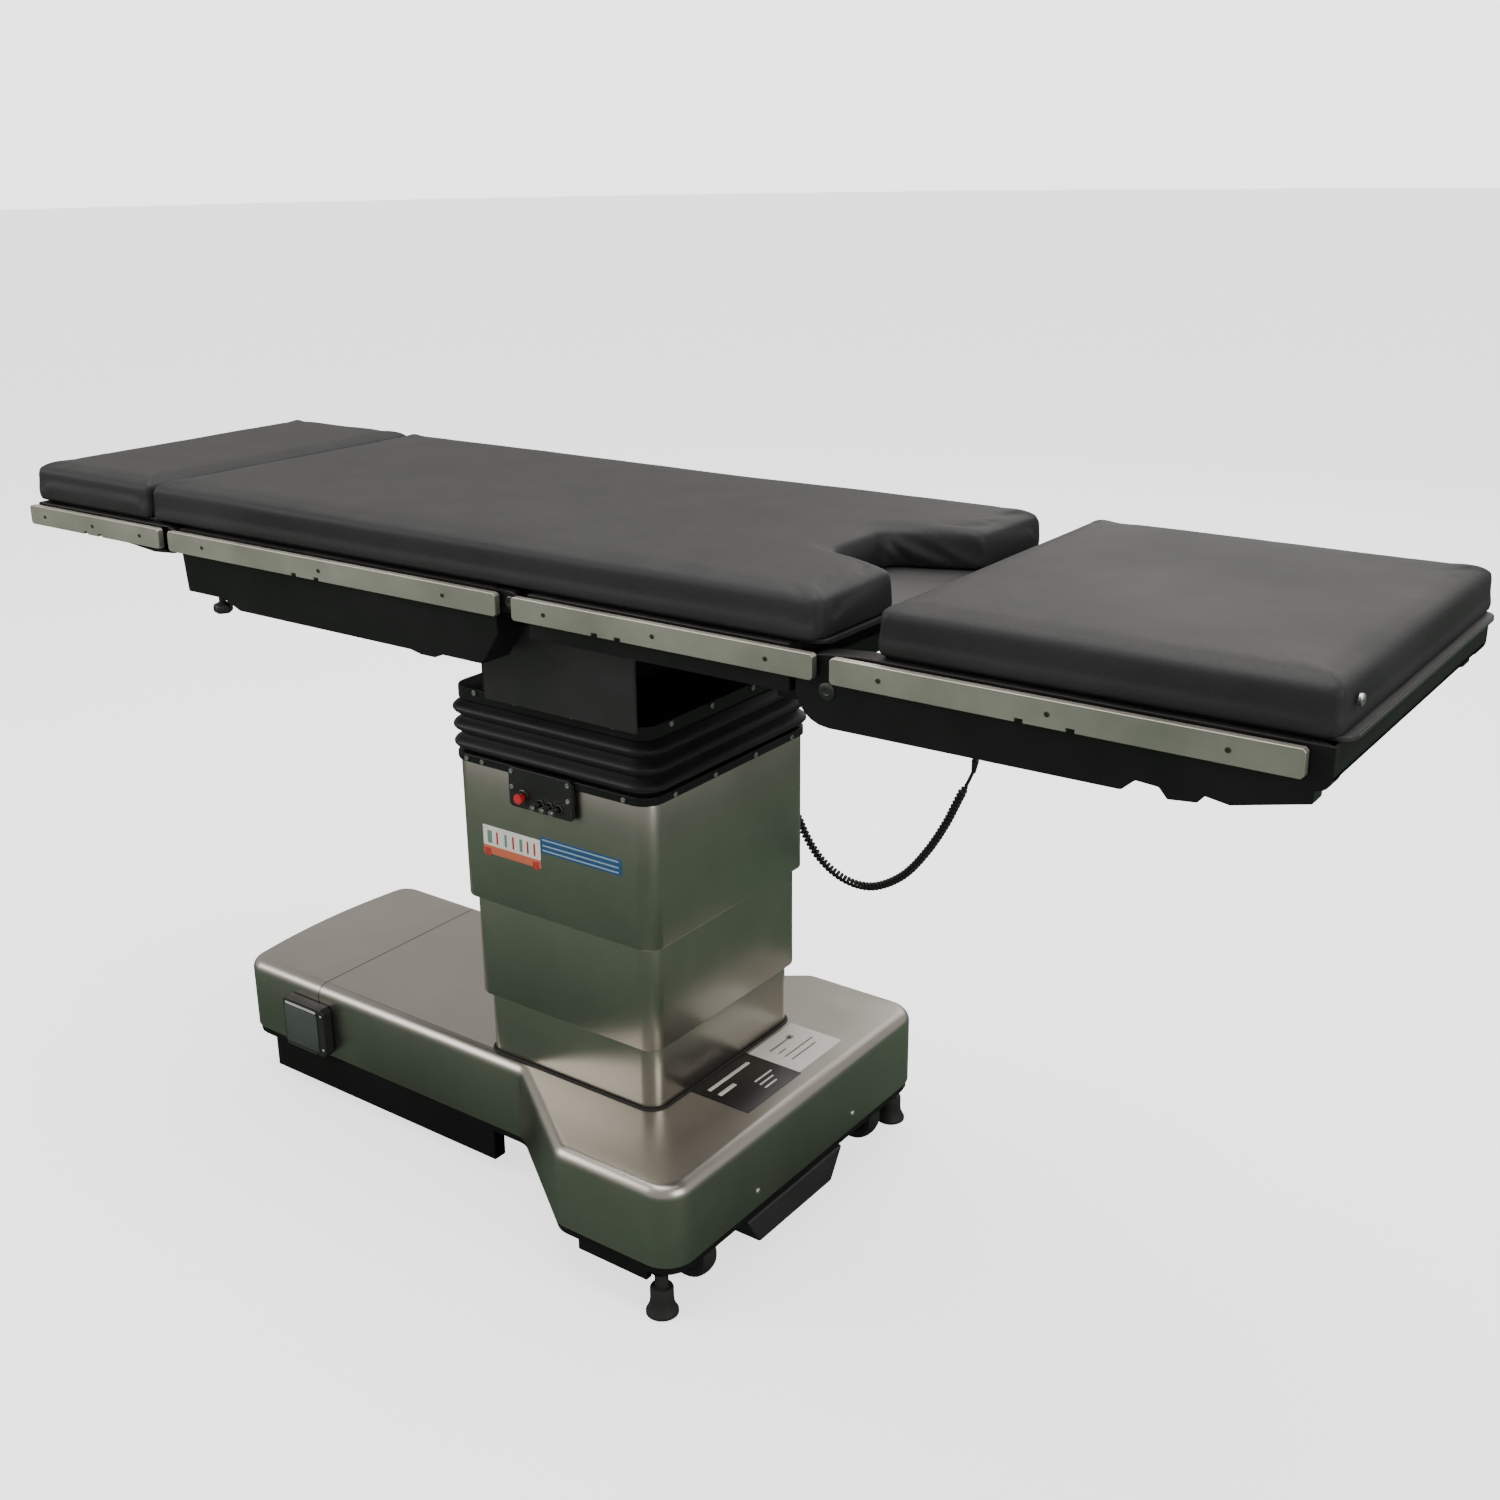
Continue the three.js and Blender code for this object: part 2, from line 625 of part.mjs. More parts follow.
function seatFrameShape() {
  const { from, to, depth } = seatBeam;
  const beams = mirrored((a, b) => block(from, to, a, b, frameTop - depth, frameTop), frameInner, frameOuter);
  const frontBar = block(from, seatBar.to, -frameInner - fit, frameInner + fit, frameTop - seatBar.depth, frameTop);
  const rearTop = frameTop - depth + seatRearBar.depth;
  const rearBar = block(to - seatRearBar.width, to, -frameInner - fit, frameInner + fit, frameTop - depth, rearTop);
  const eyeOuter = frameOuter - backEyeWidth - hingeGap;
  const eyeInner = eyeOuter - seatEyeWidth;
  const necks = mirrored(
    (a, b) => block(backHinge.x, from + fit, a, b, backHinge.z - backEye, backHinge.z + backEye),
    eyeInner,
    eyeOuter,
  );
  const eyes = mirrored((a, b) => rod("y", backEye, a, b, backHinge), eyeInner, eyeOuter);
  const eyeBores = mirrored(
    (a, b) => bore("y", backPin, a, b, backHinge, smallSides),
    eyeInner - overrun,
    eyeOuter + overrun,
  );
  const lugOuter = frameInner - legLug.inset;
  const lugInner = lugOuter - legLug.width;
  const lugRoot = to - seatRearBar.width;
  const lugNecks = mirrored(
    (a, b) => block(lugRoot, legHinge.x, a, b, legHinge.z - legLug.radius, rearTop),
    lugInner,
    lugOuter,
  );
  const lugs = mirrored((a, b) => rod("y", legLug.radius, a, b, legHinge), lugInner, lugOuter);
  const lugBores = mirrored(
    (a, b) => bore("y", legPin, a, b, legHinge, smallSides),
    lugInner - overrun,
    lugOuter + overrun,
  );
  const socketTop = frameTop - depth + fit;
  const socketAt = { x: cordSocket.x, y: frameOuter - beamWidth / 2 };
  const socket = rod("z", cordSocket.radius, socketTop - cordSocket.depth, socketTop, socketAt, smallSides);
  const body = join(...beams, frontBar, rearBar, ...necks, ...eyes, ...lugNecks, ...lugs, ...spacers(seatRail), socket);
  return cut(body, ...eyeBores, ...lugBores);
}

function legFrameShape() {
  const outline = [
    [legHinge.x, legHinge.z + legHub],
    ...legBeamShares.map(([x, z]) => [legHinge.x + legBeamLength * x, frameTop - (frameTop - legHinge.z + legHub) * z]),
  ];
  outline.push([legHinge.x + legHub, frameTop]);
  const beams = mirrored((a, b) => sidePlate(outline, a, b), frameInner, frameOuter);
  const hubs = mirrored((a, b) => rod("y", legHub, a, b, legHinge), frameInner, frameOuter);
  const pinInner = frameInner - legLug.inset - legLug.width;
  const pins = mirrored((a, b) => rod("y", legPin, a, b, legHinge, smallSides), pinInner, frameOuter);
  const end = legHinge.x + legBeamLength;
  const bars = [
    block(
      legHinge.x + legBar.inset,
      legHinge.x + legBar.inset + legBar.width,
      -frameInner - fit,
      frameInner + fit,
      frameTop - legBar.depth,
      frameTop,
    ),
    block(end - legEndBar.width, end, -frameInner - fit, frameInner + fit, frameTop - legEndBar.depth, frameTop),
  ];
  const body = join(...beams, ...hubs, ...pins, ...bars, ...spacers(legRail));
  const corner = legEndBar.depth / 2;
  const across = frameOuter + overrun;
  const bite = block(end - corner, end + overrun, -across, across, frameTop - legHub * 2, frameTop - corner * 2 + fit);
  const round = rod("y", corner, -across, across, { x: end - corner, z: frameTop - corner * 2 + fit });
  return cut(body, cut(bite, round));
}

// Saddle and its covers

function saddleShape() {
  const bottom = saddleTop - saddlePlate.thickness;
  const plate = block(saddleFrom, saddleTo, -saddleHalf, saddleHalf, bottom, saddleTop);
  const { inner, width, radius, shoulder } = saddleCheek;
  const outline = [
    [columnX - radius, trendZ],
    [columnX + radius, trendZ],
    [columnX + shoulder, bottom + fit],
    [saddleFrom, bottom + fit],
  ];
  const pinHalf = inner + width + trendPin.end;
  const pinAt = { x: columnX, z: trendZ };
  const cheeks = mirrored((a, b) => sidePlate(outline, a, b), inner, inner + width);
  const eyes = mirrored((a, b) => rod("y", radius, a, b, pinAt), inner, inner + width);
  const pin = rod("y", trendPin.radius, -pinHalf, pinHalf, pinAt);
  return join(plate, ...cheeks, ...eyes, pin);
}

function saddleCoverShape(y0, y1) {
  const { back, leg, depth, headDepth, shoulder } = saddleCover;
  const outline = [
    [backHinge.x - back, saddleTop - depth],
    [backHinge.x + leg, saddleTop - depth],
    [backHinge.x + leg, saddleTop],
    [backHinge.x - shoulder, saddleTop],
    [backHinge.x - back, saddleTop - headDepth],
  ];
  return sidePlate(outline, y0, y1);
}

// Tilt cross, flanges and bellows

function tiltCrossShape() {
  const { length, radius } = crossTrunnion;
  const barrel = rod("x", crossBarrel.radius, barrelFrom, barrelTo, { z: tiltZ });
  const trunnions = rod("x", radius, barrelFrom - length, barrelTo + length, { z: tiltZ });
  const webFrom = columnX - crossWeb.length / 2;
  const web = block(webFrom, webFrom + crossWeb.length, -crossWeb.half, crossWeb.half, tiltZ, trendZ);
  const pinAt = { x: columnX, z: trendZ };
  const boss = rod("y", crossBoss.radius, -crossBoss.half, crossBoss.half, pinAt);
  const shelf = block(
    columnX - crossSeat.length / 2,
    columnX + crossSeat.length / 2,
    -crossSeat.half,
    crossSeat.half,
    tiltZ,
    upperFlange.bottom - fit,
  );
  const reach = crossBoss.half + overrun;
  const pinBore = bore("y", trendPin.radius, -reach, reach, pinAt);
  return cut(join(barrel, trunnions, web, boss, shelf), pinBore);
}

function upperFlangeShape() {
  const { halfX, halfY } = upperShroud;
  const top = upperFlange.bottom + upperFlange.thickness;
  const outline = rectangle(columnX - halfX, columnX + halfX, halfY, upperFlange.corner);
  const webHole = rectangle(
    columnX - crossWeb.length / 2 - fit,
    columnX + crossWeb.length / 2 + fit,
    crossWeb.half + fit,
    leastCorner,
  );
  const plate = cut(
    prism(outline, upperFlange.bottom, top),
    prism(webHole, upperFlange.bottom - overrun, top + overrun),
  );
  const clevisOuter = halfY - clevis.inset;
  const clevisFrom = columnX - halfX + clevis.endInset;
  const clevisTo = clevisFrom + clevis.length;
  const outlineOfClevis = [
    [clevisFrom, top - fit],
    [clevisTo, top - fit],
    [clevisTo, top + clevis.height - clevis.corner],
    [clevisTo - clevis.corner, top + clevis.height],
    [clevisFrom + clevis.corner, top + clevis.height],
    [clevisFrom, top + clevis.height - clevis.corner],
  ];
  const blocks = mirrored((a, b) => sidePlate(outlineOfClevis, a, b), clevisOuter - clevis.width, clevisOuter);
  return join(plate, ...blocks);
}

const lowerFlangeBottom = upperShroud.top + fit;
const lowerFlangeTop = lowerFlangeBottom + lowerFlange.height;

function lowerFlangeShape() {
  const { lip, rim, corner } = lowerFlange;
  const outline = rectangle(
    columnX - upperShroud.halfX - lip,
    columnX + upperShroud.halfX + lip,
    upperShroud.halfY + lip,
    corner,
  );
  return cut(
    prism(outline, lowerFlangeBottom, lowerFlangeTop),
    prism(outline, lowerFlangeBottom - overrun, lowerFlangeTop + overrun, lip + rim),
  );
}

function bellowsShape() {
  const { bulge, waist, wall, pleats } = bellows;
  const bottom = lowerFlangeTop + fit;
  const height = upperFlange.bottom - fit - bottom;
  const outline = rectangle(
    columnX - upperShroud.halfX,
    columnX + upperShroud.halfX,
    upperShroud.halfY,
    upperFlange.corner,
  );
  const pitch = height / pleats;
  const folds = Array.from({ length: pleats }, (_, fold) =>
    bellowsStepShares.map(([rise, out]) => ({ z: bottom + pitch * (fold + rise), inset: waist - (waist + bulge) * out })),
  ).flat();
  const profile = [{ z: bottom, inset: waist }, ...folds, { z: bottom + height, inset: waist }];
  const skin = (thicker, ends) =>
    loft(
      profile.map(({ z, inset }, i) => ({
        points: roundedLoop(outline, inset + thicker),
        z: z + (i === 0 ? -ends : 0) + (i === profile.length - 1 ? ends : 0),
      })),
    );
  return cut(skin(0, 0), skin(wall, overrun));
}

// Column

// the outline of a shroud, counted inwards from the upper one
function shroudOutline(stage) {
  const step = shroudStep * stage;
  const { halfX, halfY } = upperShroud;
  return rectangle(columnX - halfX + step, columnX + halfX - step, halfY - step, shroudCorner);
}

function shroudShape(stage, bottom, top) {
  const outline = shroudOutline(stage);
  return cut(prism(outline, bottom, top), prism(outline, bottom - overrun, top + overrun, shroudWall));
}

// the middle shroud slides on the lower one with a strip inside its bottom edge
function middleShroudShape() {
  const bottom = stageAt(middleBottomShare);
  const top = stageAt(middleTopShare);
  const guide = cut(
    prism(shroudOutline(1), bottom, bottom + guideStrip),
    prism(shroudOutline(2), bottom - overrun, bottom + guideStrip + overrun, -fit),
  );
  return join(shroudShape(1, bottom, top), guide);
}

function columnHeadShape() {
  const inset = shroudWall + fit;
  const top = upperShroud.top;
  const plate = prism(shroudOutline(0), top - headPlateThickness, top, inset);
  const near = barrelFrom - hingeGap;
  const far = barrelTo + hingeGap;
  const spans = [
    [near - bearing.width, near],
    [far, far + bearing.width],
  ];
  const posts = spans.map(([a, b]) => block(a, b, -bearing.radius, bearing.radius, top - fit, tiltZ));
  const housings = spans.map(([a, b]) => rod("x", bearing.radius, a, b, { z: tiltZ }));
  const bores = spans.map(([a, b]) =>
    bore("x", crossTrunnion.radius, a - overrun, b + overrun, { z: tiltZ }),
  );
  const ramBottom = stageAt(ramBottomShare);
  const ramRod = rod("z", ram.radius, ramBottom, top - headPlateThickness + fit, { x: columnX });
  return cut(join(plate, ...posts, ...housings, ramRod), ...bores);
}

function guideTubeShape() {
  const at = { x: columnX };
  const bottom = columnFootTop + fit;
  const top = stageAt(lowerTopShare);
  const inner = ram.radius + bearingGap;
  return cut(
    rod("z", inner + guideWall, bottom, top, at),
    rod("z", inner, bottom - overrun, top + overrun, at),
  );
}

// Override panel and its controls

const panelBack = -upperShroud.halfY - lowerFlange.lip - fit;
const panelFront = panelBack - panel.thickness;

function panelShape() {
  const { corner } = panel;
  const from = columnX - panel.head;
  const to = columnX + panel.leg;
  const bottom = upperShroud.top - panel.drop;
  const top = upperShroud.top + panel.rise;
  const outline = [
    [from + corner, bottom],
    [to - corner, bottom],
    [to, bottom + corner],
    [to, top - corner],
    [to - corner, top],
    [from + corner, top],
    [from, top - corner],
    [from, bottom + corner],
  ];
  const face = sidePlate(outline, panelFront, panelBack);
  const shroudFace = -upperShroud.halfY - fit;
  const under = block(
    from + panelInset,
    to - panelInset,
    panelBack - fit,
    shroudFace,
    bottom + panelInset,
    upperShroud.top - fit,
  );
  const holes = [
    rod("y", redButton.stem + controlHole, panelFront - overrun, shroudFace + overrun, buttonPlace, smallSides),
    ...togglePlaces.map((x) =>
      rod("y", toggle.radius + toggleHole, panelFront - overrun, shroudFace + overrun, { x, z: toggleZ }, smallSides),
    ),
  ];
  return cut(join(face, under), ...holes);
}

const buttonTravel = 3;

function redButtonShape() {
  const stemEnd = -upperShroud.halfY - fit - buttonTravel;
  const face = panelFront - buttonTravel - fit;
  return join(
    rod("y", redButton.radius, face - redButton.length, face, buttonPlace),
    rod("y", redButton.stem, face - redButton.length / 2, stemEnd, buttonPlace, smallSides),
  );
}

function toggleShape(x) {
  const at = { x, z: toggleZ };
  const root = -upperShroud.halfY - fit * 2;
  const ball = new THREE.SphereGeometry(toggle.ball, smallSides, smallSides / 2);
  return join(
    rod("y", toggle.radius, panelFront - toggle.length, root, at, smallSides),
    ball.translate(x, panelFront - toggle.length, toggleZ),
  );
}

// Base

function baseCornersAt() {
  const { headEnd, headBulge, narrowHalf, wideHalf, neckX, hipX, footEnd } = base;
  const near = [
    [headEnd, -narrowHalf, baseCorners.head],
    [neckX, -narrowHalf, baseCorners.neck],
    [hipX, -wideHalf, baseCorners.hip],
    [footEnd, -wideHalf, baseCorners.foot],
  ];
  const far = near.map(([x, y, radius]) => [x, -y, radius]).reverse();
  const rise = (headEnd - headBulge) / narrowHalf;
  const bulgeRadius = (bulgeShare * Math.hypot(narrowHalf, headEnd - headBulge)) / rise;
  return [...near, ...far, [headBulge, 0, bulgeRadius]];
}

function coverShell(inset) {
  const corners = baseCornersAt();
  const top = coverTop - inset;
  const edge = coverEdgeShares.map((share, i) => ({
    points: roundedLoop(corners, inset + coverEdge * share),
    z: top - coverEdge * (1 - coverCornerShares[i]),
  }));
  const bottom = coverBottom - (inset ? overrun : 0);
  return loft([{ points: roundedLoop(corners, inset), z: bottom }, ...edge]);
}

function baseCoverShape() {
  const opening = prism(shroudOutline(2), coverBottom, coverTop + overrun, -shroudSlot);
  return cut(coverShell(0), coverShell(coverWall), opening);
}

function baseFrameShape() {
  const corners = baseCornersAt();
  const inset = coverWall + fit;
  const plate = prism(corners, deck.bottom, deck.top, inset);
  const rim = cut(
    prism(corners, deckRim.bottom, deck.bottom + fit, inset),
    prism(corners, deckRim.bottom - overrun, deck.top, inset + deckRim.width),
  );
  const skirtOuter = base.narrowHalf - inset;
  const skirts = mirrored(
    (a, b) =>
      block(
        base.headEnd + sideSkirt.headInset,
        base.neckX - sideSkirt.neckInset,
        a,
        b,
        sideSkirt.bottom,
        deck.bottom + fit,
      ),
    skirtOuter - sideSkirt.width,
    skirtOuter,
  );
  const blockOuter = base.wideHalf - inset;
  const blocks = mirrored(
    (a, b) =>
      block(
        base.hipX + cornerBlock.hipInset,
        base.footEnd - cornerBlock.footInset,
        a,
        b,
        cornerBlock.bottom,
        deck.bottom + fit,
      ),
    blockOuter - cornerBlock.width,
    blockOuter,
  );
  const footHalfX = upperShroud.halfX - columnFoot.insetX;
  const footHalfY = upperShroud.halfY - columnFoot.insetY;
  const foot = block(
    columnX - footHalfX,
    columnX + footHalfX,
    -footHalfY,
    footHalfY,
    deck.top - fit,
    columnFootTop,
  );
  const sleeveRadius = lockFoot.neck + lockSleeve.wall;
  const sleeves = lockPlaces.map((at) => rod("z", sleeveRadius, lockSleeve.bottom, lockSleeve.top, at));
  const sleeveBores = lockPlaces.map((at) =>
    rod("z", lockFoot.stem + bearingGap, cornerBlock.bottom - overrun, lockSleeve.top + overrun, at),
  );
  const counterbores = lockPlaces.map((at) =>
    rod("z", lockFoot.neck + fit, cornerBlock.bottom - overrun, lockSleeve.bottom + fit, at),
  );
  const casterBores = casterPlaces.map((at) =>
    bore("z", caster.stem, deck.bottom - overrun, deck.top + overrun, at, smallSides),
  );
  const ramBore = bore("z", ram.radius, deck.bottom - overrun, columnFootTop + overrun, { x: columnX });
  return cut(
    join(plate, rim, ...skirts, ...blocks, foot, ...sleeves),
    ...sleeveBores,
    ...counterbores,
    ...casterBores,
    ramBore,
  );
}

function endHousingShape() {
  const { length, nearInset, farInset, bottom, taper, reach } = endHousing;
  const from = base.footEnd - length;
  const near = nearInset - base.wideHalf;
  const far = base.wideHalf - farInset;
  const shelf = deckRim.bottom - fit;
  const outline = [
    [near, shelf],
    [near + taper, bottom],
    [far - taper, bottom],
    [far, shelf],
  ];
  const inner = base.footEnd - coverWall - fit - deckRim.width - fit;
  return join(
    endPlate(outline, from, base.footEnd + reach),
    block(from, inner, near + taper, far - taper, shelf - fit, deck.bottom - fit),
  );
}

function inletBoxShape() {
  const { near, far, bottom, top, depth, corner } = inletBox;
  const from = base.headEnd + near;
  const to = base.headEnd + far;
  const outline = [
    [from + corner, bottom],
    [to - corner, bottom],
    [to, bottom + corner],
    [to, top - corner],
    [to - corner, top],
    [from + corner, top],
    [from, top - corner],
    [from, bottom + corner],
  ];
  return sidePlate(outline, -base.narrowHalf - depth, -base.narrowHalf - fit);
}

function lockFootShape({ x, y }) {
  const { radius, neck, rim, cone, shoulder, stem, top } = lockFoot;
  const profile = [
    [0, 0],
    [radius, 0],
    [radius, rim],
    [neck, cone],
    [neck, shoulder],
    [stem, shoulder],
    [stem, top],
    [0, top],
  ];
  const points = profile.map(([r, z]) => new THREE.Vector2(r, z));
  return new THREE.LatheGeometry(points, footSides).rotateX(quarterTurn).translate(x, y, 0);
}

function casterForkShape({ x, y }) {
  const axleZ = caster.lift + caster.wheel;
  const crownTop = deck.bottom - fit;
  const crownBottom = crownTop - caster.crownHeight;
  const inner = caster.width / 2 + hingeGap;
  const crown = rod("z", caster.crown, crownBottom, crownTop, { x, y });
  const stem = rod("z", caster.stem, crownTop - fit, deck.top, { x, y }, smallSides);
  const half = caster.axle * 2;
  const outline = [
    [x - half, crownBottom + fit],
    [x + caster.trail - half, axleZ - half],
    [x + caster.trail + half, axleZ - half],
    [x + half, crownBottom + fit],
  ];
  const plates = both.map((side) =>
    sidePlate(outline, y + side * inner - (side < 0 ? caster.plate : 0), y + side * inner + (side > 0 ? caster.plate : 0)),
  );
  const reach = inner + caster.plate / 2;
  const axle = rod("y", caster.axle, y - reach, y + reach, { x: x + caster.trail, z: axleZ }, smallSides);
  return join(crown, stem, ...plates, axle);
}

function casterWheelShape({ x, y }) {
  const at = { x: x + caster.trail, z: caster.lift + caster.wheel };
  const half = caster.width / 2;
  return cut(
    rod("y", caster.wheel, y - half, y + half, at),
    bore("y", caster.axle, y - half - overrun, y + half + overrun, at, smallSides),
  );
}

// Head lock knob

function knobShape() {
  const top = frameTop - backCast.depth * knobSeatShare - fit;
  const { inset, stem, radius, height, drop } = knob;
  const x = backCast.from + (backCast.to - backCast.from) * knobShare;
  const y = inset - frameOuter;
  return join(
    rod("z", stem, top - drop - height / 2, top, { x, y }, smallSides),
    rod("z", radius, top - drop - height, top - drop, { x, y }, smallSides),
  );
}

// Hand control and its curly cord

function remoteShape() {
  const { x, width, depth, height, drop, corner } = remote;
  const top = railTop - drop;
  const bottom = top - height;
  const back = railOuter + fit + hook.thickness;
  const outline = [
    [x - width / 2 + corner, bottom],
    [x + width / 2 - corner, bottom],
    [x + width / 2, bottom + corner],
    [x + width / 2, top - corner],
    [x + width / 2 - corner, top],
    [x - width / 2 + corner, top],
    [x - width / 2, top - corner],
    [x - width / 2, bottom + corner],
  ];
  const body = sidePlate(outline, back, back + depth);
  const half = hook.width / 2;
  const hookTop = railTop + fit + hook.thickness;
  const strap = block(x - half, x + half, railOuter + fit, back, top - remote.corner * 4, hookTop);
  const behind = railInner - fit - hook.thickness;
  const bridge = block(x - half, x + half, behind, back, railTop + fit, hookTop);
  const lip = block(x - half, x + half, behind, railInner - fit, hookTop - hook.lip, hookTop);
  const cone = new THREE.CylinderGeometry(relief.radius, relief.tip, relief.length + fit, smallSides);
  cone.rotateX(quarterTurn).translate(x, back + depth / 2, bottom - relief.length / 2 + fit / 2);
  return join(body, strap, bridge, lip, cone);
}

// the way that the whole cord takes, with functions that look along it
function cordWay() {
  const places = cordRoute.map(([x, out, down]) => new THREE.Vector3(x, railOuter + out, frameTop - down));
  const way = new THREE.CatmullRomCurve3(places, false, "centripetal");
  way.arcLengthDivisions = cordRoute.length * cord.routeSteps;
  return way;
}

// a plain stretch of the cord between two lengths along its way
function cordStretch(way, from, to) {
  const total = way.getLength();
  const count = Math.ceil((to - from) / cord.leadStep);
  const places = Array.from({ length: count + 1 }, (_, i) => way.getPointAt((from + ((to - from) * i) / count) / total));
  const section = Array.from({ length: cord.leadSides }, (_, k) => {
    const angle = (k * 2 * Math.PI) / cord.leadSides;
    return new THREE.Vector2(Math.cos(angle), Math.sin(angle)).multiplyScalar(cord.diameter / 2);
  });
  const extrudePath = new THREE.CatmullRomCurve3(places);
  return new THREE.ExtrudeGeometry(new THREE.Shape(section), { steps: count, bevelEnabled: false, extrudePath });
}

// the centreline of the curls: straight for one diameter at each end, and a helix between that opens and closes
function curlCentre(way, from, to) {
  const total = way.getLength();
  const start = from + cord.diameter;
  const curled = to - cord.diameter - start;
  const turns = Math.round(curled / cord.pitch);
  const steps = turns * cord.curlSteps;
  const radius = (cord.curl - cord.diameter) / 2;
  const frames = way.computeFrenetFrames(steps);
  const curls = Array.from({ length: steps + 1 }, (_, i) => {
    const share = i / steps;
    const at = (start + share * curled) / total;
    const frame = Math.round(at * steps);
    const open = Math.min(1, (share * turns) / cord.openTurns, ((1 - share) * turns) / cord.openTurns);
    const angle = (i * 2 * Math.PI) / cord.curlSteps;
    return way
      .getPointAt(at)
      .addScaledVector(frames.normals[frame], radius * open * Math.cos(angle))
      .addScaledVector(frames.binormals[frame], radius * open * Math.sin(angle));
  });
  return [way.getPointAt(from / total), ...curls, way.getPointAt(to / total)];
}

// a closed tube along a list of points, with a section that doesn't twist
function tubeAlong(points, radius, sides) {
  const tangents = points.map((_, i) => {
    const next = points[Math.min(i + 1, points.length - 1)];
    return next.clone().sub(points[Math.max(i - 1, 0)]).normalize();
  });
  const normal = new THREE.Vector3(1, 0, 0).cross(tangents[0]).normalize();
  const places = [];
  points.forEach((point, i) => {
    normal.addScaledVector(tangents[i], -normal.dot(tangents[i])).normalize();
    const across = new THREE.Vector3().crossVectors(tangents[i], normal);
    for (let k = 0; k < sides; k += 1) {
      const angle = (k * 2 * Math.PI) / sides;
      const place = point.clone();
      place.addScaledVector(normal, radius * Math.cos(angle)).addScaledVector(across, radius * Math.sin(angle));
      places.push(place.x, place.y, place.z);
    }
  });
  const faces = [];
  for (let i = 0; i + 1 < points.length; i += 1) {
    for (let k = 0; k < sides; k += 1) {
      const a = i * sides + k;
      const b = i * sides + ((k + 1) % sides);
      faces.push(a, b, b + sides, a, b + sides, a + sides);
    }
  }
  const last = (points.length - 1) * sides;
  for (let k = 1; k + 1 < sides; k += 1) {
    faces.push(0, k + 1, k, last, last + k, last + k + 1);
  }
  const geometry = new THREE.BufferGeometry();
  geometry.setAttribute("position", new THREE.Float32BufferAttribute(places, 3));
  geometry.setIndex(faces);
  geometry.computeVertexNormals();
  return geometry;
}

// the least gap between parts of the cord that aren't neighbours along it
function leastSelfGap(points) {
  const skip = Math.round(cord.curlSteps * 0.6);
  let least = Infinity;
  points.forEach((point, i) => {
    for (let j = i + skip; j < points.length; j += 1) {
      least = Math.min(least, point.distanceTo(points[j]));
    }
  });
  return least - cord.diameter;
}

// the cord in three stretches that meet end to end: from the socket, the curls, and up to the hand control
function cordShapes() {
  const way = cordWay();
  const curlEnd = way.getLength() - curlTo;
  const centre = curlCentre(way, curlFrom, curlEnd);
  console.log("least gap between the cord's turns:", leastSelfGap(centre).toFixed(2), "mm");
  return {
    lead: cordStretch(way, 0, curlFrom - fit),
    curls: tubeAlong(centre, cord.diameter / 2, cord.sides),
    tail: cordStretch(way, curlEnd + fit, way.getLength()),
  };
}

// Assembly

function mesh(name, geometry, look) {
  const piece = new THREE.Mesh(geometryOf(geometry), new THREE.MeshStandardMaterial(looks[look]));
  piece.name = name;
  return piece;
}

function assembly(...pieces) {
  const group = new THREE.Group();
  group.add(...pieces);
  return group;
}

function rails(section, span, notchShares) {
  return [
    mesh(`${section}_rail_near`, rail(span, notchShares, -railOuter, -railInner), "rail"),
    mesh(`${section}_rail_far`, rail(span, notchShares, railInner, railOuter), "rail"),
  ];
}

function headSection() {
  const pad = cushion(rectangle(headPadEnd, padSeam - padSeamGap / 2, padHalf, padCorner / 2));
  return assembly(
    mesh("head_frame", headFrameShape(), "casting"),
    mesh("head_board", board(headBoard.from, headBoard.to), "board"),
    mesh("head_pad", pad, "vinyl"),
    ...rails("head", headRail, railNotchShares.head),
  );
}

function backAndSeatPads() {
  const whole = cushion(longPadCorners());
  const start = padSeam - overrun;
  const end = seatPadEnd + overrun;
  return [
    mesh("back_pad_end", padSlice(whole, start, padEndSplit - fit / 2), "vinyl"),
    mesh("back_pad", padSlice(whole, padEndSplit + fit / 2, foldFrom - fit / 2), "vinyl"),
    mesh("pad_fold", padSlice(whole, foldFrom + fit / 2, foldTo - fit / 2), "vinyl"),
    mesh("seat_pad", padSlice(whole, foldTo + fit / 2, end), "vinyl"),
  ];
}

function backSection() {
  return assembly(
    mesh("back_frame", backFrameShape(), "casting"),
    mesh("back_board", board(backBoard.from, backBoard.to), "board"),
    mesh("head_lock_knob", knobShape(), "plastic"),
    ...rails("back", backRail, railNotchShares.back),
  );
}

function seatSection() {
  const coverInner = saddleHalf + fit;
  const coverOuter = coverInner + saddleCover.thickness;
  const cords = cordShapes();
  return assembly(
    mesh("seat_frame", seatFrameShape(), "casting"),
    mesh("seat_board", board(seatBoard.from, seatBoard.to), "board"),
    ...rails("seat", seatRail, railNotchShares.seat),
    mesh("saddle", saddleShape(), "casting"),
    mesh("saddle_cover_near", saddleCoverShape(-coverOuter, -coverInner), "plastic"),
    mesh("saddle_cover_far", saddleCoverShape(coverInner, coverOuter), "plastic"),
    mesh("hand_control", remoteShape(), "plastic"),
    mesh("cord_lead", cords.lead, "rubber"),
    mesh("cord_curls", cords.curls, "rubber"),
    mesh("cord_tail", cords.tail, "rubber"),
  );
}

function legSection() {
  return assembly(
    mesh("leg_frame", legFrameShape(), "casting"),
    mesh("leg_board", board(legBoard.from, legBoard.to), "board"),
    mesh("leg_pad", cushion(rectangle(legPad.from, legPad.to, padHalf, padCorner)), "vinyl"),
    ...rails("leg", legRail, railNotchShares.leg),
  );
}

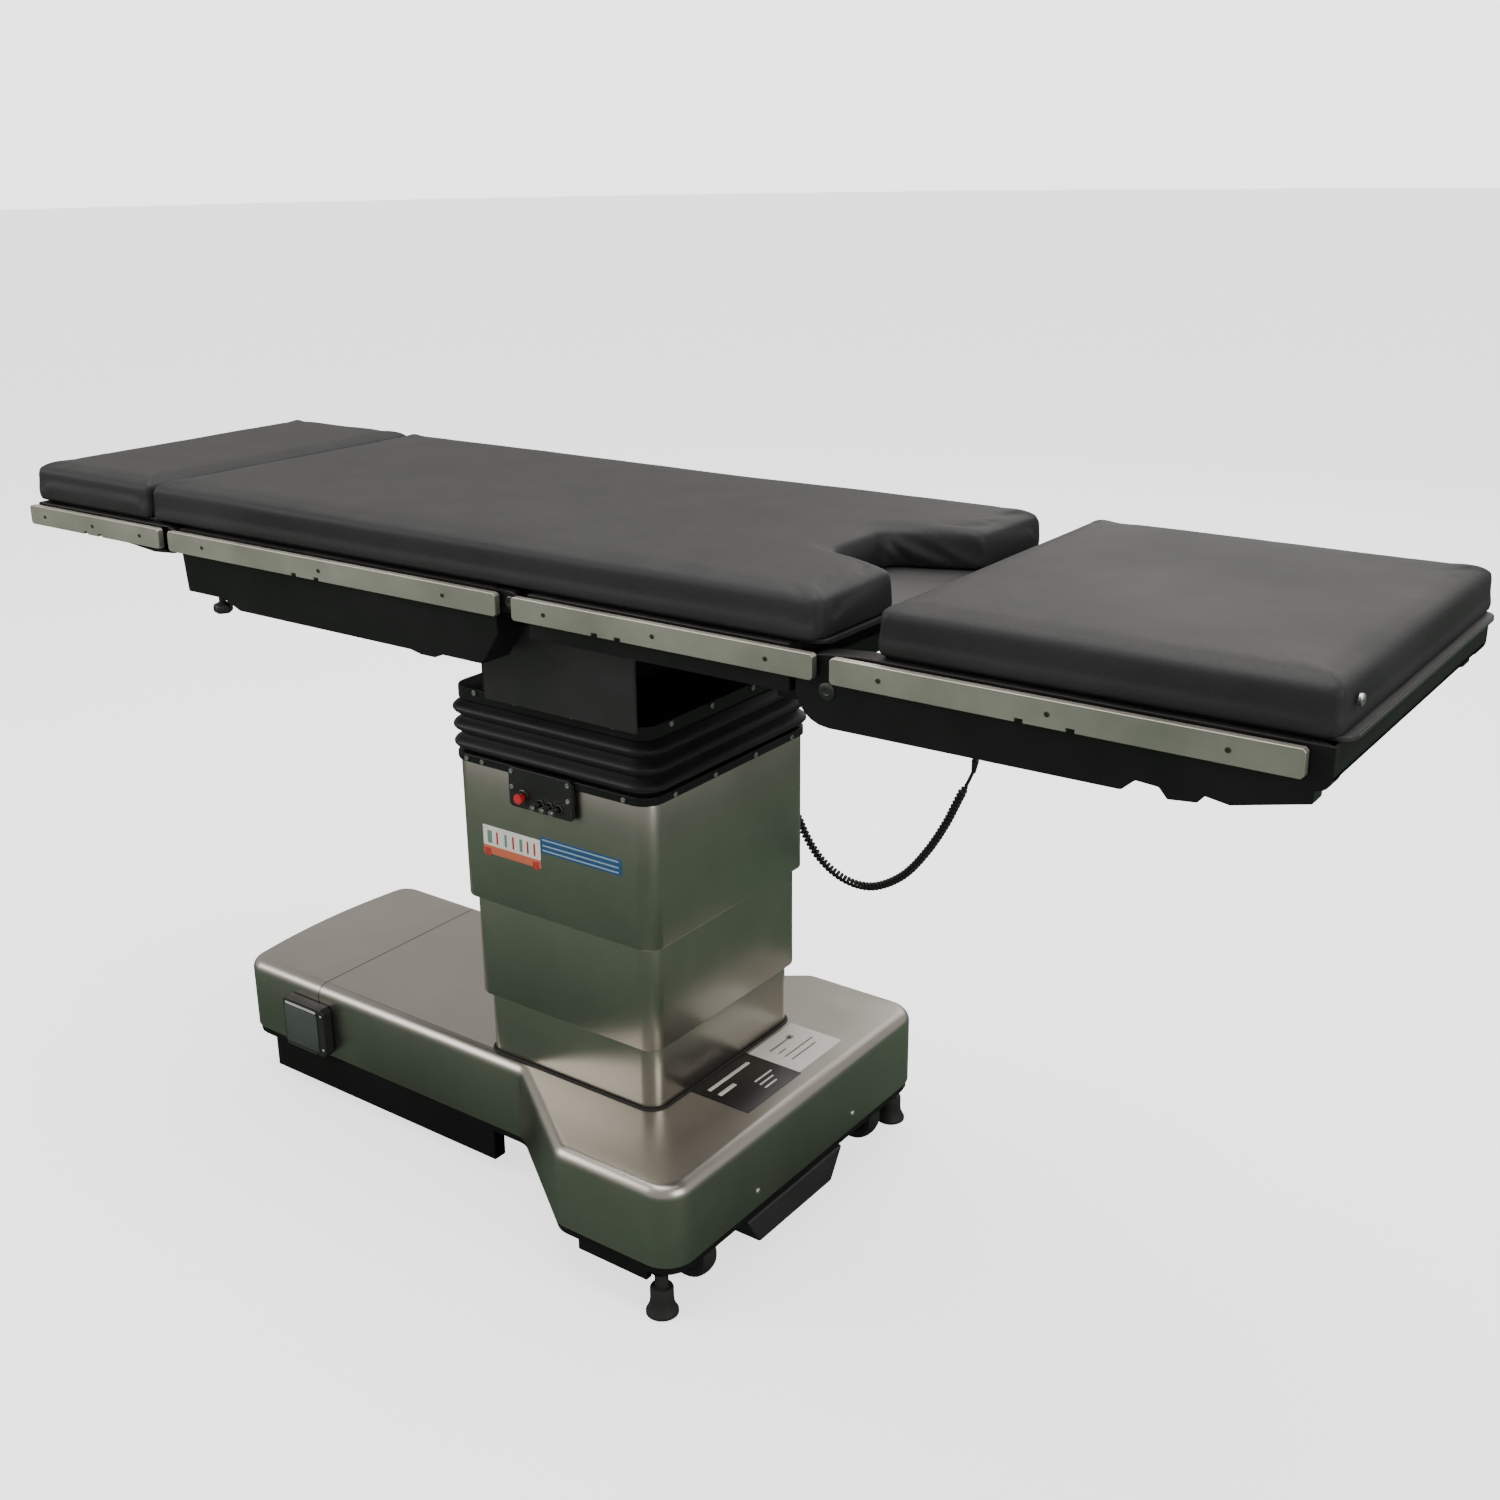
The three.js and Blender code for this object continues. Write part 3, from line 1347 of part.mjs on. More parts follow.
function column() {
  return assembly(
    mesh("lower_shroud", shroudShape(2, deck.top + fit, stageAt(lowerTopShare)), "stainless"),
    mesh("middle_shroud", middleShroudShape(), "stainless"),
    mesh("upper_shroud", shroudShape(0, stageAt(upperBottomShare), upperShroud.top), "stainless"),
    mesh("guide_tube", guideTubeShape(), "steel"),
    mesh("column_head", columnHeadShape(), "casting"),
    mesh("bellows_lower_flange", lowerFlangeShape(), "casting"),
    mesh("bellows", bellowsShape(), "rubber"),
    mesh("bellows_upper_flange", upperFlangeShape(), "casting"),
    mesh("tilt_cross", tiltCrossShape(), "casting"),
    mesh("override_panel", panelShape(), "plastic"),
    mesh("override_button", redButtonShape(), "red"),
    ...togglePlaces.map((x, i) => mesh(`override_switch_${i + 1}`, toggleShape(x), "bright")),
  );
}

function baseAssembly() {
  return assembly(
    mesh("base_frame", baseFrameShape(), "casting"),
    mesh("base_cover", baseCoverShape(), "stainless"),
    mesh("end_housing", endHousingShape(), "casting"),
    mesh("inlet_box", inletBoxShape(), "plastic"),
    ...lockPlaces.map((at) => mesh(`floor_lock_${at.name}`, lockFootShape(at), "rubber")),
    ...casterPlaces.map((at) => mesh(`caster_fork_${at.name}`, casterForkShape(at), "steel")),
    ...casterPlaces.map((at) => mesh(`caster_wheel_${at.name}`, casterWheelShape(at), "rubber")),
  );
}

const table = assembly(
  baseAssembly(),
  column(),
  seatSection(),
  assembly(...backAndSeatPads()),
  backSection(),
  headSection(),
  legSection(),
);

// the part's frame has its origin under the middle of the table's length
table.position.x = -(headRail.from + legBoard.to) / 2;

export default assembly(table);
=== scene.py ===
"""Dresses an operating table: pads, rails, castings, bellows, steel column and base, with its stage."""

import json
import math

import bmesh
import bpy
from bpy.props import FloatProperty, FloatVectorProperty, PointerProperty
from mathutils import Matrix, Vector, noise
from mathutils.geometry import tessellate_polygon

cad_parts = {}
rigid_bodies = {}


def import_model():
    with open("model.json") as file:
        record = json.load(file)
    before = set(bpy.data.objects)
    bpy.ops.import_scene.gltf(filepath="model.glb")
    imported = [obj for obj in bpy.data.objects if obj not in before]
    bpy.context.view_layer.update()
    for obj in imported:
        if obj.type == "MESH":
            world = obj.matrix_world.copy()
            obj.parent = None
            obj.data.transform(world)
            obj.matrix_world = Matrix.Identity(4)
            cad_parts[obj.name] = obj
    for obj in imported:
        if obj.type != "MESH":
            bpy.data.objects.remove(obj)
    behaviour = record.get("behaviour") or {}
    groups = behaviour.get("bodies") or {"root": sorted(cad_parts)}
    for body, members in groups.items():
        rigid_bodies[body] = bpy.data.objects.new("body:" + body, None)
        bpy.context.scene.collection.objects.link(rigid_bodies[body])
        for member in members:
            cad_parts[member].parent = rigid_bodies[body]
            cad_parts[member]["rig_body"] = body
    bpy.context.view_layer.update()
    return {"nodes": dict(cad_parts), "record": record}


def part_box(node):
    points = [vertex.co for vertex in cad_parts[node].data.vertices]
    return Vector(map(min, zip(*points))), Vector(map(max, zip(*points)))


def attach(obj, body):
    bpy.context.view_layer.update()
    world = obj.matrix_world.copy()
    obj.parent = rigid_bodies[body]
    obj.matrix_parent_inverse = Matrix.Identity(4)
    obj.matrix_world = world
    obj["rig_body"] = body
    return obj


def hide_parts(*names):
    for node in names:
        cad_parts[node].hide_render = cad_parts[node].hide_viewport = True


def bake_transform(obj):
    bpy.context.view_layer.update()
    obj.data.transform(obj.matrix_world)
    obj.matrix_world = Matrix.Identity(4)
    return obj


bl_info = {
    "name": "Operating table",
    "version": (1, 0, 0),
    "blender": (4, 5, 0),
    "location": "3D view > Sidebar > Operating table",
    "description": "Builds the pads, metalwork and stage of an operating table",
    "category": "Object",
}

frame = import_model()
SLOTS = {part["node"]: part["material_slot"] for part in frame["record"]["subparts"]}

CORNER_STEPS = 10
FLOOR_GLOW = 1.7
FLOOR_PALE = (0.86, 0.86, 0.86, 1)
DUST = (0.2, 0.19, 0.17, 1)
PAD_DUST = (0.09, 0.088, 0.082, 1)
BARE_EDGE = (0.1, 0.1, 0.095)
CREASE_SHARE = 0.12
HEAD_HINGE = Vector((-0.659, 0, 0.8965))
BACK_HINGE = Vector((-0.009, 0, 0.902))
LEG_HINGE = Vector((0.440, 0, 0.872))
SECTIONS = ("head", "back", "seat", "leg")
BASE_CORNERS = [
    (-0.712, -0.177, 0.036),
    (-0.121, -0.177, 0.030),
    (0.054, -0.302, 0.034),
    (0.245, -0.302, 0.042),
    (0.245, 0.302, 0.042),
    (0.054, 0.302, 0.034),
    (-0.121, 0.177, 0.030),
    (-0.712, 0.177, 0.036),
    (-0.736, 0, 0.959),
]


# Sizes and colours that a user would change


def length_setting(name, description, default):
    """A length that a user may change."""
    return FloatProperty(name=name, description=description, default=default, unit="LENGTH")


def colour_setting(name, description, default):
    """A linear colour that a user may change."""
    return FloatVectorProperty(name=name, description=description, default=default, subtype="COLOR")


def turn_setting(name, description, degrees):
    """A turn of the camera that a user may change."""
    return FloatProperty(name=name, description=description, default=math.radians(degrees), subtype="ANGLE")


class TableSizes(bpy.types.PropertyGroup):
    pad_edge: length_setting("Pad edge", "Rounding of the pads' top edges", 0.012)
    pad_crown: length_setting("Pad crown", "Rise of a pad towards its middle", 0.002)
    pad_swell: length_setting("Pad swell", "Most that the foam swells", 0.003)
    pad_cell: length_setting("Pad cell", "Cell of the pads' remesh", 0.006)
    pad_proud: length_setting("Pad stands out", "How far a cover stands past the boards' sides", 0.0065)
    pad_lip: length_setting("Pad lip", "How far the cover hangs below the board's top", 0.0055)
    casting_edge: length_setting("Casting edge", "Rounding of cast edges", 0.0016)


class TableColours(bpy.types.PropertyGroup):
    vinyl: colour_setting("Pad cover", "Coated cover of the pads", (0.022, 0.0225, 0.024))
    casting: colour_setting("Castings", "Powder-coated castings", (0.0075, 0.0078, 0.0082))
    steel: colour_setting("Covers", "Brushed covers of column and base", (0.47, 0.445, 0.40))
    rail: colour_setting("Rails", "Side rails", (0.62, 0.60, 0.53))
    button: colour_setting("Button", "Override push button", (0.55, 0.02, 0.03))
    # Painted reflection: the dark green that polished faces see in the floor, not the floor's own colour
    painted_floor_reflection: colour_setting(
        "Floor in reflections",
        "What polished faces see below",
        (0.075, 0.12, 0.085),
    )


class TableCamera(bpy.types.PropertyGroup):
    place: FloatVectorProperty(
        name="Place",
        description="Where the camera stands",
        default=(1.3794, -1.7185, 1.4325),
        subtype="TRANSLATION",
    )
    yaw: turn_setting("Yaw", "Turn to the left of looking along +Y", 37.0)
    pitch: turn_setting("Pitch", "Look below the horizon", 19.0)
    roll: turn_setting("Roll", "Lean of the picture", -0.9)
    lens: FloatProperty(
        name="Lens",
        description="Focal length on a 36 mm sensor",
        default=41.51,
        subtype="DISTANCE_CAMERA",
    )
    shift_x: FloatProperty(name="Shift across", description="Share of the frame's width", default=0.0285)
    shift_y: FloatProperty(name="Shift up", description="Share of the frame's width", default=-0.0169)


def sizes():
    return bpy.context.scene.table_sizes


def colours():
    return bpy.context.scene.table_colours


# Shader nodes


def wire(tree, kind, settings=None, inputs=None):
    """Adds a node, sets its settings, and fills or links its inputs."""
    made = tree.nodes.new(kind)
    for key, value in (settings or {}).items():
        setattr(made, key, value)
    for key, value in (inputs or {}).items():
        if isinstance(value, bpy.types.NodeSocket):
            tree.links.new(value, made.inputs[key])
        else:
            made.inputs[key].default_value = value
    return made


def group_tree(name, inputs, outputs):
    """An empty shader node group with named sockets, and its two end nodes."""
    tree = bpy.data.node_groups.new(name, "ShaderNodeTree")
    for label, default in inputs:
        kind = "NodeSocketVector" if isinstance(default, tuple) else "NodeSocketFloat"
        socket = tree.interface.new_socket(label, in_out="INPUT", socket_type=kind)
        socket.default_value = default
    for label in outputs:
        tree.interface.new_socket(label, in_out="OUTPUT", socket_type="NodeSocketFloat")
    return tree, tree.nodes.new("NodeGroupInput"), tree.nodes.new("NodeGroupOutput")


def noised(tree, place, scale, detail, **more):
    """A noise over the surface, read at a place."""
    inputs = {"Vector": place, "Scale": scale, "Detail": detail, **more}
    return wire(tree, "ShaderNodeTexNoise", None, inputs).outputs[0]


def reckoned(tree, operation, first, second):
    return wire(tree, "ShaderNodeMath", {"operation": operation}, {0: first, 1: second}).outputs[0]


def own_place(tree):
    return wire(tree, "ShaderNodeTexCoord").outputs["Object"]


def fed(tree, node, **values):
    """Links values to a node's inputs, by name."""
    for label, value in values.items():
        tree.links.new(value, node.inputs[label.replace("_", " ")])
    return tree


def grain_group():
    """Pressed grain of a coated cloth: small cells with soft creases, and broad changes of tone."""
    tree, given, out = group_tree("cover grain", [("Scale", 900.0), ("Creases", 0.4)], ["Height", "Tone"])
    place = own_place(tree)
    cell_inputs = {"Vector": place, "Scale": given.outputs["Scale"], "Smoothness": 0.6}
    cells = wire(tree, "ShaderNodeTexVoronoi", {"feature": "SMOOTH_F1"}, cell_inputs)
    crease_scale = reckoned(tree, "MULTIPLY", given.outputs["Scale"], CREASE_SHARE)
    creases = noised(tree, place, crease_scale, 4.0, Distortion=0.6)
    share = reckoned(tree, "MULTIPLY", creases, given.outputs["Creases"])
    height = reckoned(tree, "ADD", cells.outputs["Distance"], share)
    return fed(tree, out, Height=height, Tone=noised(tree, place, 5.0, 5.0))


def brushed_group():
    """Lines of a brushed metal, drawn out along the way that the stretch is small."""
    inputs = [("Stretch", (4.0, 4.0, 400.0)), ("Stains", 6.0)]
    tree, given, out = group_tree("brushed lines", inputs, ["Height", "Tone", "Roughness"])
    place = own_place(tree)
    stretch = {0: place, 1: given.outputs["Stretch"]}
    drawn = wire(tree, "ShaderNodeVectorMath", {"operation": "MULTIPLY"}, stretch)
    lines = noised(tree, drawn.outputs[0], 4.0, 6.0, Roughness=0.7)
    stains = noised(tree, place, given.outputs["Stains"], 6.0, Roughness=0.6)
    mixed = wire(tree, "ShaderNodeMix", {"data_type": "FLOAT"}, {0: 0.35, 2: stains, 3: lines})
    return fed(tree, out, Height=lines, Tone=stains, Roughness=mixed.outputs[0])


def wear_group():
    """Bare and rubbed edges, broken up, and dust that settles on faces that look up."""
    tree, given, out = group_tree("wear and dust", [("Edge", 0.53), ("Break up", 60.0)], ["Edges", "Dust"])
    geometry = wire(tree, "ShaderNodeNewGeometry")
    place = own_place(tree)
    broken = noised(tree, place, given.outputs["Break up"], 4.0)
    sharp = {"Value": geometry.outputs["Pointiness"], "From Min": given.outputs["Edge"], "From Max": 0.62}
    ridge = wire(tree, "ShaderNodeMapRange", {"clamp": True}, sharp)
    edges = reckoned(tree, "MULTIPLY", ridge.outputs[0], broken)
    normal = wire(tree, "ShaderNodeSeparateXYZ", None, {0: geometry.outputs["Normal"]})
    upward = {"Value": normal.outputs["Z"], "From Min": 0.6, "From Max": 1.0}
    top = wire(tree, "ShaderNodeMapRange", {"clamp": True}, upward)
    specks = noised(tree, place, 14.0, 8.0, Roughness=0.7)
    return fed(tree, out, Edges=edges, Dust=reckoned(tree, "MULTIPLY", top.outputs[0], specks))


def peel_group():
    """The fine unevenness of paint, rubber and moulded plastic."""
    tree, given, out = group_tree("fine peel", [("Scale", 700.0)], ["Height", "Tone"])
    place = own_place(tree)
    peel = noised(tree, place, given.outputs["Scale"], 3.0)
    return fed(tree, out, Height=peel, Tone=noised(tree, place, 11.0, 6.0))


GROUP_MAKERS = {
    "cover grain": grain_group,
    "brushed lines": brushed_group,
    "wear and dust": wear_group,
    "fine peel": peel_group,
}


def placed_group(tree, name, inputs):
    """The named effect as a node in a material, built the first time that it is asked for."""
    effect = bpy.data.node_groups.get(name) or GROUP_MAKERS[name]()
    return wire(tree, "ShaderNodeGroup", {"node_tree": effect}, inputs)


def blank_material(name, **shader):
    """A material with a Principled shader whose plain values are given by input name."""
    made = bpy.data.materials.new(name)
    made.use_nodes = True
    surface = made.node_tree.nodes["Principled BSDF"]
    for key, value in shader.items():
        surface.inputs[key.replace("_", " ")].default_value = value
    return made, made.node_tree, surface


def mixed_colour(tree, mask, first, second):
    """One colour, then another, by a mask."""
    mixed = wire(tree, "ShaderNodeMix", {"data_type": "RGBA"}, {"Factor": mask, 6: first, 7: second})
    return mixed.outputs[2]


def tinted(tree, mask, dark, light):
    """A colour that goes from dark to light with a mask."""
    return mixed_colour(tree, mask, (*dark, 1), (*light, 1))


def ranged(tree, value, low, high, start=0.3, end=0.7):
    """A value that goes from low to high as another goes from start to end."""
    inputs = {"Value": value, "From Min": start, "From Max": end, "To Min": low, "To Max": high}
    return wire(tree, "ShaderNodeMapRange", {"clamp": True}, inputs).outputs[0]


def bumped(tree, surface, height, distance, strength=0.5):
    inputs = {"Height": height, "Distance": distance, "Strength": strength}
    made = wire(tree, "ShaderNodeBump", None, inputs)
    tree.links.new(made.outputs["Normal"], surface.inputs["Normal"])


def scaled(colour, factor):
    return tuple(channel * factor for channel in colour)


def cover_vinyl():
    made, tree, surface = blank_material("pad_cover_vinyl", Specular_IOR_Level=0.25)
    grain = placed_group(tree, "cover grain", {"Scale": 1000.0, "Creases": 0.5})
    wear = placed_group(tree, "wear and dust", {"Edge": 0.56, "Break up": 30.0})
    cover = tuple(colours().vinyl)
    base = tinted(tree, ranged(tree, grain.outputs["Tone"], 0, 1), scaled(cover, 0.8), scaled(cover, 1.25))
    dust = ranged(tree, wear.outputs["Dust"], 0, 0.22, 0.2, 0.9)
    roughness = ranged(tree, grain.outputs["Tone"], 0.46, 0.58)
    fed(tree, surface, Base_Color=mixed_colour(tree, dust, base, PAD_DUST), Roughness=roughness)
    bumped(tree, surface, grain.outputs["Height"], 0.0004, 0.55)
    return made


def painted(name, paint, roughness, specular, peel, depth, worn=BARE_EDGE, wear_share=0.35):
    """Paint, rubber or moulded plastic: a fine peel, uneven gloss, rubbed edges and dust on top."""
    made, tree, surface = blank_material(name, Specular_IOR_Level=specular)
    skin = placed_group(tree, "fine peel", {"Scale": peel})
    wear = placed_group(tree, "wear and dust", {"Edge": 0.54, "Break up": 90.0})
    base = tinted(tree, ranged(tree, skin.outputs["Tone"], 0, 1), scaled(paint, 0.82), scaled(paint, 1.2))
    edges = ranged(tree, wear.outputs["Edges"], 0, wear_share, 0.25, 0.7)
    rubbed = mixed_colour(tree, edges, base, (*worn, 1))
    dust = ranged(tree, wear.outputs["Dust"], 0, 0.12, 0.35, 0.8)
    gloss = ranged(tree, skin.outputs["Tone"], roughness - 0.05, roughness + 0.07)
    fed(tree, surface, Base_Color=mixed_colour(tree, dust, rubbed, DUST), Roughness=gloss)
    bumped(tree, surface, skin.outputs["Height"], depth, 0.5)
    return made


def brushed(name, metal, low, high, stretch, stains, depth=0.00005):
    """Brushed metal: fine lines, cloudy gloss and darker stains."""
    made, tree, surface = blank_material(name, Metallic=1.0)
    lines = placed_group(tree, "brushed lines", {"Stretch": stretch, "Stains": stains})
    base = tinted(tree, ranged(tree, lines.outputs["Tone"], 0, 1), scaled(metal, 0.88), scaled(metal, 1.08))
    fed(tree, surface, Base_Color=base, Roughness=ranged(tree, lines.outputs["Roughness"], low, high))
    bumped(tree, surface, lines.outputs["Height"], depth, 0.12)
    return made


def printed(name, ink, gloss):
    """A sticker or plate with a slightly uneven print."""
    made, tree, surface = blank_material(name)
    skin = placed_group(tree, "fine peel", {"Scale": 400.0})
    base = tinted(tree, ranged(tree, skin.outputs["Tone"], 0, 1), scaled(ink, 0.9), ink)
    roughness = ranged(tree, skin.outputs["Tone"], gloss - 0.06, gloss + 0.06)
    fed(tree, surface, Base_Color=base, Roughness=roughness)
    bumped(tree, surface, skin.outputs["Height"], 0.00003, 0.3)
    return made


def floor_finish():
    """Pale to the eye and to the light it gives back; glossy rays see a dark green floor instead, a painted
    reflection in polished faces.
    """
    made, tree, surface = blank_material("floor_pale", Specular_IOR_Level=0.2, Roughness=0.7)
    clouds = noised(tree, own_place(tree), 1.6, 3.0)
    painted_reflection_colour = tuple(colours().painted_floor_reflection)
    green = tinted(tree, ranged(tree, clouds, 0, 1), scaled(painted_reflection_colour, 0.8), scaled(painted_reflection_colour, 1.25))
    rays = wire(tree, "ShaderNodeLightPath")
    # Painted reflection: glossy rays get the dark green, while camera and diffuse rays get the pale floor
    seen = mixed_colour(tree, rays.outputs["Is Glossy Ray"], FLOOR_PALE, green)
    surface.inputs["Emission Color"].default_value = (1, 1, 1, 1)
    glow = reckoned(tree, "MULTIPLY", rays.outputs["Is Camera Ray"], FLOOR_GLOW)
    fed(tree, surface, Base_Color=seen, Emission_Strength=glow)
    return made


# Finishes by key. Paint: name, colour, roughness, specular level, peel scale and depth, then edge wear.
# Metal: name, colour, least and most roughness, stretch of the lines, scale of the stains, depth.
# Print: name, colour, roughness.


def finishes():
    """The makers of all materials with their values, by key."""
    own = colours()
    casting, steel, rail = (tuple(c) for c in (own.casting, own.steel, own.rail))
    all_ways = (90.0, 90.0, 90.0)
    round_ways = (3.0, 120.0, 120.0)
    upright = (120.0, 120.0, 3.0)
    black = (0.011, 0.011, 0.012)
    return {
        "vinyl": (cover_vinyl,),
        "board": (painted, "board_laminate", (0.03, 0.03, 0.031), 0.5, 0.5, 500.0, 0.00012),
        "board_edge": (brushed, "board_edge", (0.2, 0.2, 0.19), 0.35, 0.5, (8.0, 8.0, 200.0), 6.0),
        "powder": (painted, "powder_coat_black", casting, 0.4, 0.3, 900.0, 0.00015),
        "iron": (painted, "cast_iron_black", scaled(casting, 0.75), 0.52, 0.22, 500.0, 0.0003),
        "cover_steel": (brushed, "cover_steel_brushed", steel, 0.27, 0.36, round_ways, 4.0, 0.00002),
        "shroud_steel": (brushed, "shroud_steel_brushed", steel, 0.29, 0.36, upright, 4.0, 0.000015),
        "rail_steel": (brushed, "rail_steel_satin", rail, 0.42, 0.54, (6.0, 200.0, 200.0), 9.0),
        "machined": (brushed, "machined_steel", (0.6, 0.6, 0.6), 0.22, 0.34, all_ways, 30.0),
        "dark_steel": (brushed, "dark_screw_steel", (0.13, 0.125, 0.12), 0.3, 0.45, all_ways, 40.0),
        "lever": (brushed, "toggle_lever_grey", (0.42, 0.42, 0.41), 0.3, 0.45, all_ways, 60.0),
        "rubber": (painted, "black_rubber", (0.018,) * 3, 0.62, 0.35, 300.0, 0.0002, BARE_EDGE, 0.2),
        "bellows": (painted, "bellows_rubber", black, 0.48, 0.35, 350.0, 0.0002, BARE_EDGE, 0.2),
        "plastic": (painted, "moulded_plastic_black", (0.02, 0.02, 0.021), 0.42, 0.5, 600.0, 0.00015),
        "panel": (painted, "panel_plastic_black", (0.016, 0.016, 0.017), 0.34, 0.5, 800.0, 0.0001),
        "red": (painted, "push_button_red", tuple(own.button), 0.3, 0.5, 600.0, 0.00008, (0.6, 0.2, 0.2)),
        "toggle": (painted, "toggle_ivory", (0.62, 0.6, 0.56), 0.3, 0.5, 600.0, 0.00005, (0.7, 0.7, 0.7)),
        "strap": (painted, "strap_grey", (0.42, 0.43, 0.41), 0.35, 0.5, 600.0, 0.00005, (0.5, 0.5, 0.5)),
        "flap": (painted, "flap_grey", (0.05, 0.062, 0.055), 0.4, 0.5, 600.0, 0.0001, (0.2, 0.2, 0.2)),
        "label_white": (printed, "label_white", (0.72, 0.71, 0.66), 0.45),
        "label_orange": (printed, "label_orange", (0.58, 0.13, 0.06), 0.45),
        "label_red": (printed, "label_red", (0.42, 0.03, 0.02), 0.45),
        "label_green": (printed, "label_bar_green", (0.14, 0.25, 0.2), 0.45),
        "label_blue": (printed, "label_blue", (0.012, 0.075, 0.2), 0.4),
        "label_pale": (printed, "label_pale_blue", (0.25, 0.38, 0.5), 0.4),
        "plate_dark": (printed, "plate_black", (0.018, 0.016, 0.014), 0.35),
        "plate_white": (printed, "plate_white", (0.93, 0.92, 0.86), 0.45),
        "plate_grey": (printed, "plate_print_grey", (0.25, 0.24, 0.22), 0.4),
        "floor": (floor_finish,),
    }


MADE = {}


def material(key):
    """The named finish, built the first time that it is asked for."""
    if key not in MADE:
        maker, *values = finishes()[key]
        MADE[key] = maker(*values)
    return MADE[key]


# Mesh helpers


class Shape:
    """Points and faces of one piece, gathered from several forms."""

    def __init__(self):
        self.points = []
        self.faces = []

    def add(self, form, matrix=None):
        points, faces = form
        first = len(self.points)
        self.points += [matrix @ Vector(p) if matrix else Vector(p) for p in points]
        self.faces += [[first + i for i in face] for face in faces]
        return self

    def build(self, name):
        mesh = bpy.data.meshes.new(name)
        mesh.from_pydata([tuple(p) for p in self.points], [], self.faces)
        mesh.validate()
        made = bpy.data.objects.new(name, mesh)
        bpy.context.scene.collection.objects.link(made)
        return made


def rounded_loop(corners, inset=0.0, steps=CORNER_STEPS):
    """Points of an outline with rounded corners (x, y, radius), anticlockwise, moved inwards by inset."""
    count = len(corners)
    edges = []
    for i, (x, y, _) in enumerate(corners):
        nx, ny, _ = corners[(i + 1) % count]
        length = math.hypot(nx - x, ny - y)
        ax, ay = (nx - x) / length, (ny - y) / length
        edges.append((x - ay * inset, y + ax * inset, ax, ay))
    points = []
    for i, corner in enumerate(corners):
        bx, by, bax, bay = edges[i - 1]
        cx, cy, cax, cay = edges[i]
        turn = bax * cay - bay * cax
        reach = ((cx - bx) * cay - (cy - by) * cax) / turn
        tip = (bx + bax * reach, by + bay * reach)
        radius = max(corner[2] - inset * math.copysign(1, turn), 0.001)
        angle = math.atan2(turn, bax * cax + bay * cay)
        back = radius * math.tan(abs(angle) / 2)
        side = math.copysign(1, angle)
        start = (tip[0] - bax * back, tip[1] - bay * back)
        centre = (start[0] - bay * radius * side, start[1] + bax * radius * side)
        first = math.atan2(start[1] - centre[1], start[0] - centre[0])
        for k in range(steps + 1):
            at = first + angle * k / steps
            points.append((centre[0] + radius * math.cos(at), centre[1] + radius * math.sin(at)))
    return points


def rectangle(x0, x1, y0, y1, radius):
    return [(x0, y0, radius), (x1, y0, radius), (x1, y1, radius), (x0, y1, radius)]


def stack(rings, closed=False, ends=True):
    """A skin through rings with equal numbers of points; closed joins the last ring to the first."""
    count = len(rings[0])
    points = [p for ring in rings for p in ring]
    faces = []
    last = len(rings) - (0 if closed else 1)
    for r in range(last):
        a, b = r * count, ((r + 1) % len(rings)) * count
        for j in range(count):
            k = (j + 1) % count
            faces.append([a + j, a + k, b + k, b + j])
    if ends and not closed:
        faces.append(list(range(count))[::-1])
        faces.append([(len(rings) - 1) * count + j for j in range(count)])
    return points, faces


def level(outline, z):
    return [(x, y, z) for x, y in outline]


def ringed(corners, rows, steps=CORNER_STEPS):
    """Level rings of one rounded outline, from rows of inset and height."""
    return [level(rounded_loop(corners, inset, steps), z) for inset, z in rows]


def plate(corners, z0, z1, edge=0.0008, steps=CORNER_STEPS):
    """A flat plate with a rounded outline and eased edges."""
    ease = edge * 0.35
    rows = [(edge, z0), (ease, z0 + ease), (0, z0 + edge), (0, z1 - edge), (ease, z1 - ease), (edge, z1)]
    return stack(ringed(corners, rows, steps))


def circle(radius, z, segments):
    angles = [2 * math.pi * k / segments for k in range(segments)]
    return [(radius * math.cos(a), radius * math.sin(a), z) for a in angles]


def lathe(profile, segments=32):
    """A form turned about Z from (radius, height) pairs; a radius of 0 closes an end."""
    points, faces, rows = [], [], []
    for radius, height in profile:
        ring = [(0, 0, height)] if radius < 1e-7 else circle(radius, height, segments)
        rows.append(list(range(len(points), len(points) + len(ring))))
        points += ring
    for low, high in zip(rows, rows[1:]):
        for k in range(segments):
            n = (k + 1) % segments
            if len(low) == 1:
                faces.append([high[k], high[n], low[0]])
            elif len(high) == 1:
                faces.append([low[k], low[n], high[0]])
            else:
                faces.append([low[k], low[n], high[n], high[k]])
    return points, faces


def turned_ring(profile, segments):
    """A form turned about Z with a hole through it: the profile's last point joins the first."""
    points, faces = lathe(profile, segments)
    last = (len(profile) - 1) * segments
    faces += [[last + k, last + (k + 1) % segments, (k + 1) % segments, k] for k in range(segments)]
    return points, faces


def socket_screw(radius, height):
    """A cap screw with a hexagonal socket; its head stands on z = 0."""
    segments = 24
    ease = radius * 0.12
    socket = radius * 0.5
    depth = height * 0.55
    sixth = math.pi / 3

    def hexagon(r, z):
        made = []
        for k in range(segments):
            angle = 2 * math.pi * k / segments
            reach = r * math.cos(sixth / 2) / math.cos(angle % sixth - sixth / 2)
            made.append((reach * math.cos(angle), reach * math.sin(angle), z))
        return made

    rings = [
        circle(radius, 0, segments),
        circle(radius, height - ease, segments),
        circle(radius - ease * 0.3, height - ease * 0.3, segments),
        circle(radius - ease, height, segments),
        hexagon(socket * 1.08, height),
        hexagon(socket, height - ease * 0.6),
        hexagon(socket, height - depth),
    ]
    return stack(rings)


def pan_screw(radius, height):
    """A low domed screw."""
    dome = [(radius * math.cos(a), height * math.sin(a)) for a in (0.3, 0.7, 1.05, 1.3)]
    return lathe([(0, 0), (radius, 0), *dome, (0, height)], 20)


